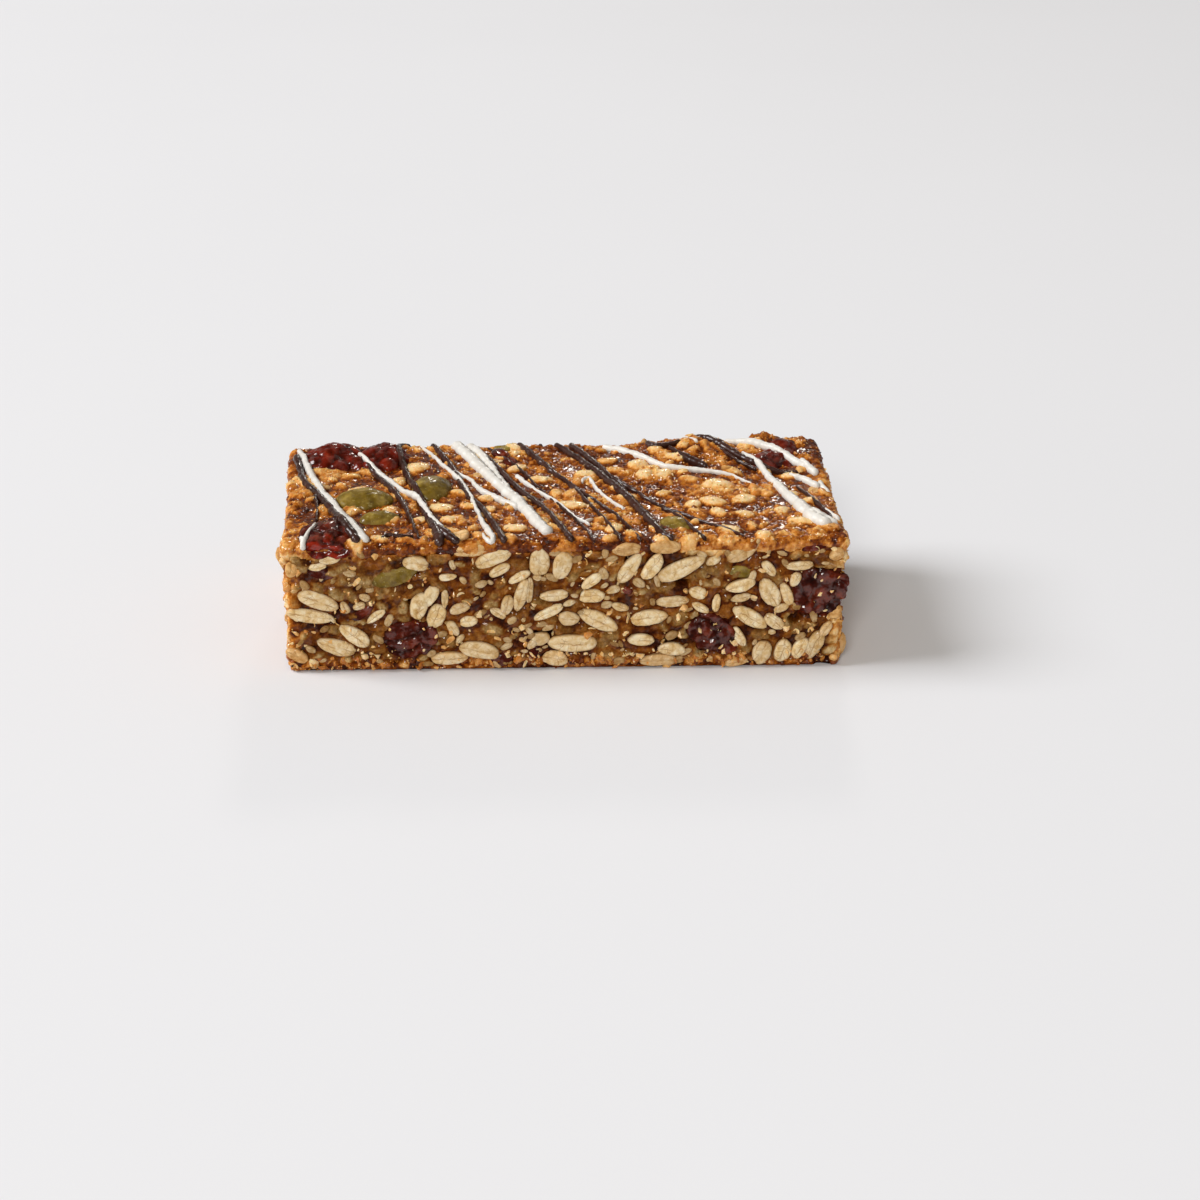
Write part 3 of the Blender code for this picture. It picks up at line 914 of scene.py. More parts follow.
def makeCore():
    shape = coreShape
    top = barHeight - shape["lidDrop"]
    points, quads = latticeBox(np.array([-halfLength, -halfDepth, 0]), np.array([halfLength, halfDepth, top]),
                               shape["cells"], openSide=(2, shape["cells"][2]))
    closing = lid(points, top, 1)
    under = (points[:, 2] < 1e-6) & (np.abs(points[:, 0]) < halfLength - 0.1) & (np.abs(points[:, 1]) < halfDepth - 0.1)
    spots, outs = roundedBox(points, shape["edge"])
    outs[under] = (0, 0, -1)
    spots[under] = points[under] * (1 - 1.6 * shape["footInset"] / halfDepth)
    end, cut = np.abs(outs[:, 0]), np.abs(outs[:, 1])
    heights = np.zeros(len(points))
    tone = np.full(len(points), 0.4)
    glass = np.zeros(len(points))
    endHeight, endTone, _ = crustRelief(spots)
    cutHeight, cutTone = np.zeros(len(points)), np.zeros(len(points))
    for side in (-1, 1):
        rows = np.nonzero(side * outs[:, 1] > 0.02)[0]
        cutHeight[rows], cutTone[rows], glass[rows] = cutRelief(spots[rows], side)
    share = easeUp(end, 0.25, 0.75)
    heights = share * endHeight * 0.9 + (1 - share) * cutHeight
    tone = share * (endTone + 0.1) + (1 - share) * cutTone
    tone[under] = endTone[under]
    heights *= 0.4 + 0.6 * easeUp(spots[:, 2], 0.0, 1.3)
    heights = makeRoom(heights, spots, outs, 0, -0.75, -0.15, 0.35)
    # darker towards the foot: partly the baked underside's colour, partly painted shade where the bar meets the floor
    tone = tone - 0.23 * (1 - easeUp(spots[:, 2], 0.3, 2.6))
    # lighter at the front edge of the +X end: partly pale tan crust, partly painted light on a strip the lamps leave in
    # shade
    tone = tone + 0.2 * easeUp(spots[:, 0], halfLength - 3, halfLength - 1) * easeUp(-spots[:, 1], 18, 22)
    wander = 2.0 * roughNoise(spots, 4.0, 33)
    baked = np.maximum.reduce([
        (spots[:, 2] - barHeight + 3.2 + wander) / 2.0, 0.8 * (2.4 - spots[:, 2] + 0.6 * wander),
        (np.abs(spots[:, 0]) - halfLength + 3.0 + wander) / 2.4, 1.5 * end - 0.3])
    baked = np.clip(baked, 0, 1)
    baked[under] = 1
    heights -= shape["footInset"] * (1 - easeUp(spots[:, 2], 0, 1.3))
    heights[under] = 0
    final = bulged(tilted(spots + heights[:, None] * outs))
    piece = meshPiece("oatCore", np.concatenate([final, [[0, 0, top - 0.4]]]), quads.tolist() + closing,
                      matrixMaterial(), dict(tone=np.append(tone, 0.2), glass=np.append(glass, 0), baked=np.append(baked, 1)))
    finishPiece(piece, "baked_oats", "oat_block")
    return surfaceRows(piece, outs, tone)


core = makeCore()


# loose oats: flat-faced ovals with a crease

def ovalTemplate(segments, rings):
    # rings run from the middle of the face over its rim to the underside; rows are (along, across, height)
    angle = 2 * math.pi * np.arange(segments) / segments
    rows = [(0, 0, 1)]
    for radius, height in rings:
        rows += [(radius * math.cos(turn), radius * math.sin(turn), height) for turn in angle]
    rows.append((0, 0, -1))
    faces = [(0, 1 + step, 1 + (step + 1) % segments) for step in range(segments)]
    for ring in range(len(rings) - 1):
        first, second = 1 + ring * segments, 1 + (ring + 1) * segments
        for step in range(segments):
            after = (step + 1) % segments
            faces.append((first + step, second + step, second + after, first + after))
    last, tip = 1 + (len(rings) - 1) * segments, len(rows) - 1
    faces += [(last + step, tip, last + (step + 1) % segments) for step in range(segments)]
    return np.array(rows), faces


flatOval = ovalTemplate(28, ((0.3, 0.99), (0.55, 0.96), (0.76, 0.9), (0.9, 0.76), (0.98, 0.5), (1.0, 0.1), (0.92, -0.6)))
smallOval = ovalTemplate(16, ((0.45, 0.95), (0.75, 0.8), (0.95, 0.45), (1.0, 0.0), (0.85, -0.6)))


def newPile():
    return dict(points=[], faces=[], count=0, values={})


def addToPile(pile, points, faces, **values):
    pile["points"].append(points)
    pile["faces"] += [tuple(corner + pile["count"] for corner in face) for face in faces]
    pile["count"] += len(points)
    for key, numbers in values.items():
        pile["values"].setdefault(key, []).append(numbers)


def pilePiece(name, pile, material, smooth=True):
    values = {key: np.concatenate(rows) for key, rows in pile["values"].items()}
    return meshPiece(name, np.concatenate(pile["points"]), pile["faces"], material, values, smooth)


def grainPoints(template, length, width, thick, dice):
    # one oat in its own frame: blunt or slightly pointed ends, uneven rim, gently dished face
    along, across, up = template[0].T.copy()
    radius = np.hypot(along, across)
    turn = np.arctan2(across, along)
    blunt = dice.uniform(0.80, 0.98)
    x = np.sign(along) * radius * np.abs(np.cos(turn)) ** blunt
    y = np.sign(across) * radius * np.abs(np.sin(turn)) ** blunt
    uneven = 1 + sum(dice.uniform(0.004, 0.022) * np.sin(k * turn + dice.uniform(0, 6.3)) for k in (2, 3, 5, 8, 11))
    narrowed = 1 - dice.uniform(0.02, 0.2) * np.abs(x) ** 2.5 - dice.uniform(-0.16, 0.16) * x
    x, y = x * uneven, y * uneven * narrowed
    y = y + dice.uniform(-0.14, 0.14) * (x**2 - 0.3)
    crease = np.exp(-((y / 0.15) ** 2)) * np.clip(1 - x**2, 0, 1) * (up > 0.6)
    dents = sum(dice.uniform(0.02, 0.07) * np.sin(dice.uniform(2, 6) * x + dice.uniform(2, 6) * y
                + dice.uniform(0, 6.3)) for _ in range(4))
    z = up - 0.16 * crease + dents * (up > 0)
    chip = dice.uniform(0.7, 2.6)
    if chip < 1:
        turnTo = dice.uniform(0, 6.3)
        over = np.clip(x * math.cos(turnTo) + y * math.sin(turnTo) - chip, 0, None) * 0.85
        x, y = x - over * math.cos(turnTo), y - over * math.sin(turnTo)
    return np.stack([x * length / 2, y * width / 2, z * thick / 2], 1), np.stack([x, y, up], 1)


def addGrain(pile, template, middle, along, out, size, dice, bake=0.0, soak=0.0):
    along = Vector(along).normalized()
    out = Vector(out)
    out = (out - out.dot(along) * along).normalized()
    axes = np.array([along, out.cross(along), out])
    points, own = grainPoints(template, *size, dice)
    count = len(points)
    addToPile(pile, np.array(middle) + points @ axes, template[1], own=own, tint=np.full(count, dice.random()),
              bake=np.full(count, bake), soak=np.full(count, soak))


def grainMaterial():
    material = newMaterial("oatGrain", {
        "Specular IOR Level": 0.08, "Subsurface Weight": 0.12, "Subsurface Scale": 0.6 * mm,
        "Subsurface Radius": (1.0, 0.7, 0.35), "Coat Roughness": 0.1,
    })
    glossSpots(material, 0.9, 0.3, 0.4)
    tint, bake, soak = (stored(material, key) for key in ("tint", "bake", "soak"))
    mottle = noiseFine(material, 1.0, 4, 0.6)
    cream = ramp(material, mottle, [(0.28, (0.56, 0.34, 0.12)), (0.44, (0.78, 0.59, 0.32)), (0.66, (0.90, 0.79, 0.56))])
    golden = ramp(material, mottle, [(0.28, (0.36, 0.13, 0.02)), (0.48, (0.60, 0.29, 0.07)), (0.72, (0.78, 0.49, 0.19))])
    grey = ramp(material, mottle, [(0.28, (0.155, 0.060, 0.010)), (0.50, (0.27, 0.138, 0.036)), (0.72, (0.42, 0.262, 0.10))])
    patches = calc(material, "MULTIPLY", rescale(material, noiseFine(material, 2.6, 2), 0.46, 0.64, 0.0, 0.6),
                   rescale(material, tint, 0.0, 1.0, 0.35, 1.0))
    ends = rescale(material, calc(material, "ABSOLUTE", stored(material, "own", "X")), 0.55, 1.0, 0.0, 0.55)
    patches = calc(material, "MAXIMUM", patches, calc(material, "MULTIPLY", ends,
                   rescale(material, noiseFine(material, 3.2, 1), 0.45, 0.6, 0.0, 1.0)))
    colour = blendColours(material, patches, cream, (0.64, 0.39, 0.12))
    colour = blendColours(material, bake, colour, golden)
    colour = blendColours(material, soak, colour, grey)
    # tan crease, rim and hair cracks
    wobble = rescale(material, noiseFine(material, 1.4), 0.3, 0.7, -0.14, 0.14)
    across = calc(material, "ABSOLUTE", calc(material, "ADD", stored(material, "own", "Y"), wobble))
    crease = rescale(material, across, 0.02, 0.10, 0.8, 0.0)
    cracks = rescale(material, cells(material, 1.7, "DISTANCE_TO_EDGE"), 0.01, 0.05, 0.6, 0.0)
    marks = calc(material, "MAXIMUM", crease, cracks)
    marks = calc(material, "MULTIPLY", marks, rescale(material, noiseFine(material, 1.7, 3), 0.38, 0.6, 0.1, 1.0))
    rim = rescale(material, stored(material, "own", "Z"), 0.2, 0.9, 0.9, 0.0)
    marks = calc(material, "MAXIMUM", marks, calc(material, "MULTIPLY", rim,
                 rescale(material, noiseFine(material, 2.0, 2), 0.35, 0.65, 0.3, 1.0)))
    colour = blendColours(material, marks, colour, (0.38, 0.185, 0.05))
    plug(material, "Base Color", colour)
    plug(material, "Roughness", calc(material, "SUBTRACT", 0.55, calc(material, "MULTIPLY", soak, 0.25)))
    relief = calc(material, "SUBTRACT", noiseFine(material, 0.5, 3), calc(material, "MULTIPLY", marks, 0.8))
    bump(material, relief, 0.09, 0.8)
    return material


grainLook = grainMaterial()
grainShape = dict(thick=1.5, proud=0.3, tilt=0.13, seed=19)


def nearCrust(along, height):
    # 0 in the middle of a cut side, 1 at its baked borders
    ends = (abs(along) - halfLength + 4.5) / 3.0
    top = (height - barHeight + 3.2) / 2.0
    foot = (2.8 - height) / 2.0
    return max(0.0, min(1.0, max(ends, top, 0.8 * foot)))


def makeCutGrains():
    shape = grainShape
    dice = random.Random(shape["seed"])
    pile = newPile()
    tilt = shape["tilt"]
    for side, plan in cutSides.items():
        for kind in ("clear", "small"):
            for along, height, length, width, lean, own in plan[kind]:
                turn = math.radians(lean)
                thick = shape["thick"] * min(1.0, width / 2.4)
                proud = shape["proud"] * dice.uniform(0.6, 2.0) * min(1.0, width / 2.0)
                middle = (along, side * (halfDepth + proud - thick / 2), height)
                out = (dice.uniform(-tilt, tilt), side, dice.uniform(-tilt, tilt))
                if kind == "clear":
                    soak = 0.3 * own**2
                else:
                    soak = 0.25 + 0.7 * own
                addGrain(pile, flatOval if length > 3 else smallOval, middle, (math.cos(turn), 0, math.sin(turn)), out,
                         (length, width, thick), dice, bake=0.8 * nearCrust(along, height) + 0.1 * own, soak=soak)
    finishPiece(pilePiece("cutGrains", pile, grainLook), "oat_grain")


makeCutGrains()


# scraps of cranberry skin and of pumpkin seed; in the front cut: along, height, length, width, lean,
# and on the top: along, across, length, width, turn
scrapShape = dict(
    thick=1.2, proud=0.22, topProud=0.7, seed=17,
    berryCut=[
        (-43.2, 19.3, 5.2, 2.2, -14), (-36.2, 11.4, 4.8, 2.0, 34), (-11.6, 1.9, 4.4, 2.6, 20), (-22.3, 22.4, 2.4, 1.5, 40),
        (10.8, 15.4, 2.2, 1.4, -30), (-5.6, 3.6, 2.4, 1.5, 60), (43.6, 23.4, 5.0, 1.6, 6),
    ],
    berryTop=[(-11.4, 17.2, 4.2, 2.8, -50), (-9.6, 14.0, 3.8, 2.4, -62)],
    seedCut=[(31.0, 18.8, 4.4, 2.3, -6)],
    seedTop=[(-11.0, 20.8, 3.8, 2.5, 0)],
)


def makeScraps():
    shape = scrapShape
    dice = random.Random(shape["seed"])
    crustTree = searchTree([bpy.data.objects["topCrust"]])
    for kind, look, slotName in (("berry", "driedCranberry", "cranberry"), ("seed", "pumpkinSeed", "pumpkin_seed")):
        pile = newPile()
        for along, height, length, width, lean in shape[kind + "Cut"]:
            turn = math.radians(lean)
            middle = (along, -halfDepth - shape["proud"] + shape["thick"] / 2, height)
            out = (dice.uniform(-0.1, 0.1), -1, dice.uniform(-0.1, 0.1))
            addGrain(pile, flatOval, middle, (math.cos(turn), 0, math.sin(turn)), out, (length, width, shape["thick"]), dice)
        for along, across, length, width, lean in shape[kind + "Top"]:
            turn = math.radians(lean)
            ground = crustTree.ray_cast(Vector((along, across, 2 * barHeight)), Vector((0, 0, -1)))[0].z
            middle = (along, across, ground + shape["topProud"] - shape["thick"] / 2)
            out = (dice.uniform(-0.15, 0.15), dice.uniform(-0.3, 0.1), 1)
            addGrain(pile, flatOval, middle, (math.cos(turn), math.sin(turn), 0), out, (length, width, shape["thick"]), dice)
        finishPiece(pilePiece(kind + "Scraps", pile, bpy.data.materials[look]), slotName)


makeScraps()


crustGrainShape = dict(
    topCount=12, topLength=(2.4, 4.4), endCount=34, endLength=(3.0, 5.6), thick=0.5, sunk=0.3, gap=0.6, seed=23,
)


def makeCrustGrains():
    # oats that show through the baked top and ends, lying flat in the crust
    shape = crustGrainShape
    dice = random.Random(shape["seed"])
    pile = newPile()
    fronts = [("top", crust, crust["outs"][:, 2] > 0.96, shape["topCount"], shape["topLength"]),
              ("left", core, core["outs"][:, 0] < -0.98, shape["endCount"], shape["endLength"]),
              ("right", core, core["outs"][:, 0] > 0.98, shape["endCount"], shape["endLength"])]
    for name, surface, wanted, count, lengths in fronts:
        rows = np.nonzero(wanted & (surface["points"][:, 2] > 2.0))[0]
        axes = (0, 1) if name == "top" else (1, 2)
        busy = [(x, y, 0.5 * length) for x, y, length, *_ in topGrains] if name == "top" else []
        made = tries = 0
        while made < count and tries < 4000:
            tries += 1
            row = rows[dice.randrange(len(rows))]
            spot, normal, out = (Vector(surface[key][row]) for key in ("points", "normals", "outs"))
            length = dice.uniform(*lengths)
            if normal.dot(out) < 0.88 or fruitTree.find_nearest(spot)[3] < 0.6 * length:
                continue
            if clearOf((spot[axes[0]], spot[axes[1]]), shape["gap"] * length, busy):
                busy.append((spot[axes[0]], spot[axes[1]], shape["gap"] * length))
                made += 1
                width = length * dice.uniform(0.5, 0.68)
                thick = width * shape["thick"]
                along = Vector((dice.gauss(0, 1), dice.gauss(0, 1), dice.gauss(0, 1)))
                along -= along.dot(normal) * normal
                addGrain(pile, flatOval, spot - shape["sunk"] * thick * normal, along, normal,
                         (length, width, thick), dice, bake=dice.uniform(0.4, 1.0))
    finishPiece(pilePiece("crustGrains", pile, grainLook), "oat_grain")


makeCrustGrains()


# crumbs, sugar grains, chips and husks: many small closed bits made at once

def ballTemplate(subdivisions):
    ball = bmesh.new()
    bmesh.ops.create_icosphere(ball, subdivisions=subdivisions, radius=1)
    points = np.array([vert.co[:] for vert in ball.verts])
    faces = np.array([[vert.index for vert in face.verts] for face in ball.faces])
    ball.free()
    return points, faces


crumbShape = dict(count=560, foot=420, size=(0.6, 2.1), rough=0.14, sunk=0.36, topShare=0.5, seed=31)
sugarShape = dict(count=7000, size=(0.22, 0.6), rough=0.25, sunk=0.1, topShare=0.8, seed=33)
chipShape = dict(count=1300, size=(0.3, 1.25), rough=0.28, sunk=0.1, stuck=45, seed=37)
huskShape = dict(count=110, length=(1.0, 2.6), width=(0.4, 1.0), thick=0.13, curl=(0.3, 1.5), seed=43)


def turnedAxes(count, dice):
    first = unitRows(dice.normal(size=(count, 3)))
    second = unitRows(np.cross(first, dice.normal(size=(count, 3))))
    return np.stack([first, second, np.cross(first, second)], 1)


def crystalTemplate():
    # eight flat faces
    points = np.array([(1, 0, 0), (0, 1, 0), (-1, 0, 0), (0, -1, 0), (0, 0, 1), (0, 0, -1)], float)
    faces = [(4, a, b) for a, b in ((0, 1), (1, 2), (2, 3), (3, 0))] + [(5, b, a) for a, b in ((0, 1), (1, 2), (2, 3), (3, 0))]
    return points, np.array(faces)


def scatterBits(template, anchors, outs, sizes, shape, dice, stretch=(0.6, 1.4)):
    # copies of a small closed shape, jittered, stretched, turned and set on their anchors
    ball, faces = template
    count = len(anchors)
    jitter = 1 + shape["rough"] * dice.normal(size=(count, len(ball), 1))
    scale = dice.uniform(*stretch, size=(count, 1, 3)) * sizes[:, None, None] / 2
    turned = np.einsum("nvk,nkd->nvd", ball[None] * jitter * scale, turnedAxes(count, dice))
    points = anchors[:, None] - outs[:, None] * (shape["sunk"] * sizes)[:, None, None] + turned
    allFaces = faces[None] + (np.arange(count) * len(ball))[:, None, None]
    return points.reshape(-1, 3), allFaces.reshape(-1, 3).tolist(), len(ball)


def crumbMaterial(name, coat, roughness):
    material = newMaterial(name, {
        "Specular IOR Level": 0.2, "Subsurface Weight": 0.2, "Subsurface Scale": 0.6 * mm,
        "Subsurface Radius": (1.0, 0.45, 0.12), "Coat Weight": coat, "Coat Roughness": 0.05,
    })
    plug(material, "Base Color", bakedColour(material, mottled(material, stored(material, "tone"), 0.3)))
    plug(material, "Roughness", rescale(material, noiseFine(material, 0.6), 0.3, 0.7, roughness - 0.12, roughness + 0.12))
    bump(material, noiseFine(material, 0.35, 2), 0.06, 0.7)
    return material


def clearOfFruit(surface, rows):
    near = [fruitTree.find_nearest(Vector(surface["points"][row]), 0.25)[0] is None for row in rows]
    return rows[np.array(near)]


def crustAnchors(count, footCount, topShare, dice):
    # random places on the baked top and ends and along the foot
    up = np.nonzero(crust["outs"][:, 2] > 0.3)[0]
    ends = np.nonzero((np.abs(core["outs"][:, 0]) > 0.5) & (core["points"][:, 2] > 0.6))[0]
    foot = np.nonzero((core["outs"][:, 2] > -0.5) & (core["points"][:, 2] < 2.2) & (core["points"][:, 2] > 0.3))[0]
    onTop = round(count * topShare)
    picked = []
    for surface, rows, wanted in ((crust, up, onTop), (core, ends, count - onTop), (core, foot, footCount)):
        rows = clearOfFruit(surface, dice.choice(rows, wanted, replace=False))
        picked.append([surface[key][rows] for key in ("points", "normals", "tone")])
    return [np.concatenate(column) for column in zip(*picked)]


def makeCrumbs():
    dice = np.random.default_rng(crumbShape["seed"])
    anchors, outs, tone = crustAnchors(crumbShape["count"], crumbShape["foot"], crumbShape["topShare"], dice)
    low, high = crumbShape["size"]
    sizes = low + (high - low) * dice.random(len(anchors)) ** 2
    points, faces, each = scatterBits(ballTemplate(2), anchors, outs, sizes, crumbShape, dice, (0.7, 1.25))
    tone = np.clip(0.6 * tone + dice.normal(0.2, 0.15, size=len(anchors)), 0, 1)
    piece = meshPiece("crustCrumbs", points, faces, crumbMaterial("caramelCrumb", 0.3, 0.35), dict(tone=np.repeat(tone, each)))
    finishPiece(piece, "baked_oats")


def makeSugar():
    dice = np.random.default_rng(sugarShape["seed"])
    anchors, outs, tone = crustAnchors(sugarShape["count"], 300, sugarShape["topShare"], dice)
    sizes = dice.uniform(*sugarShape["size"], size=len(anchors))
    points, faces, each = scatterBits(crystalTemplate(), anchors, outs, sizes, sugarShape, dice)
    tone = np.clip(tone + dice.normal(0.2, 0.22, size=len(anchors)), 0, 1)
    piece = meshPiece("sugarGrains", points, faces, crumbMaterial("sugarGrain", 0.8, 0.2), dict(tone=np.repeat(tone, each)), False)
    finishPiece(piece, "baked_oats")


def cutAnchors(count, dice, footPull):
    # random places on the two cut sides, more of them low down
    sides = np.abs(core["outs"][:, 1]) > 0.8
    height = core["points"][:, 2]
    weight = sides * (0.3 + footPull * (height < 3.0)) * (height > 0.3)
    rows = dice.choice(len(weight), count, replace=False, p=weight / weight.sum())
    return clearOfFruit(core, rows)


def stuckOnFruit(count, dice):
    # a few crumbs stuck on the berries that the knife went through
    points, normals = [], []
    for piece in fruit:
        if "cranberry" in piece.name and "cut" in piece.name:
            rows = [vert for vert in piece.data.vertices if abs(vert.normal.y) > 0.6
                    and abs(vert.co.y) > (halfDepth - 0.6) * mm]
            for number in dice.choice(len(rows), min(len(rows), count // 5), replace=False):
                points.append(rows[number].co / mm)
                normals.append(rows[number].normal)
    return np.array(points), np.array(normals)


def makeChips():
    dice = np.random.default_rng(chipShape["seed"])
    rows = cutAnchors(chipShape["count"], dice, 2.2)
    stuckPoints, stuckNormals = stuckOnFruit(chipShape["stuck"], dice)
    anchors = np.concatenate([core["points"][rows], stuckPoints])
    outs = np.concatenate([core["normals"][rows], stuckNormals])
    low, high = chipShape["size"]
    sizes = low + (high - low) * dice.random(len(anchors)) ** 2.2
    points, faces, each = scatterBits(ballTemplate(1), anchors, outs, sizes, chipShape, dice, (0.4, 1.7))
    tone = np.clip(dice.normal(0.86, 0.14, size=len(anchors)) - 0.3 * (anchors[:, 2] < 2.6), 0, 1)
    piece = meshPiece("chips", points, faces, crumbMaterial("chip", 0.5, 0.3), dict(tone=np.repeat(tone, each)), False)
    finishPiece(piece, "oat_grain")


def makeHusks():
    # curled bits of bran on the cut sides
    shape = huskShape
    dice = np.random.default_rng(shape["seed"])
    template, quads = latticeBox(np.array([-1.0, -1.0, 0.0]), np.array([1.0, 1.0, 1.0]), (6, 3, 1))
    rows = cutAnchors(shape["count"], dice, 0.4)
    count = len(rows)
    length, width, curl = (dice.uniform(*shape[key], size=(count, 1)) for key in ("length", "width", "curl"))
    bend = template[None, :, 0] * curl
    radius = length / 2 / curl - shape["thick"] * template[None, :, 2]
    x = radius * np.sin(bend)
    z = length / 2 / curl - radius * np.cos(bend)
    y = template[None, :, 1] * width / 2 * (1 - 0.55 * template[None, :, 0] ** 2)
    z = z + 0.25 * y**2 / width + dice.uniform(-0.3, 0.3, size=(count, 1)) * template[None, :, 0] * y
    outs = unitRows(core["normals"][rows] + 0.5 * dice.normal(size=(count, 3)))
    along = unitRows(np.cross(outs, dice.normal(size=(count, 3))))
    axes = np.stack([along, np.cross(outs, along), outs], 1)
    points = core["points"][rows][:, None] + np.einsum("nvk,nkd->nvd", np.stack([x, y, z - 0.1], -1), axes)
    faces = quads[None] + (np.arange(count) * len(template))[:, None, None]
    tone = np.clip(dice.normal(0.86, 0.12, size=count), 0, 1)
    piece = meshPiece("husks", points.reshape(-1, 3), faces.reshape(-1, 4).tolist(), crumbMaterial("husk", 0.3, 0.4),
                      dict(tone=np.repeat(tone, len(template))))
    finishPiece(piece, "oat_grain")


makeCrumbs()
makeSugar()
makeChips()
makeHusks()


# drizzle: dark and white chocolate laid on the crust

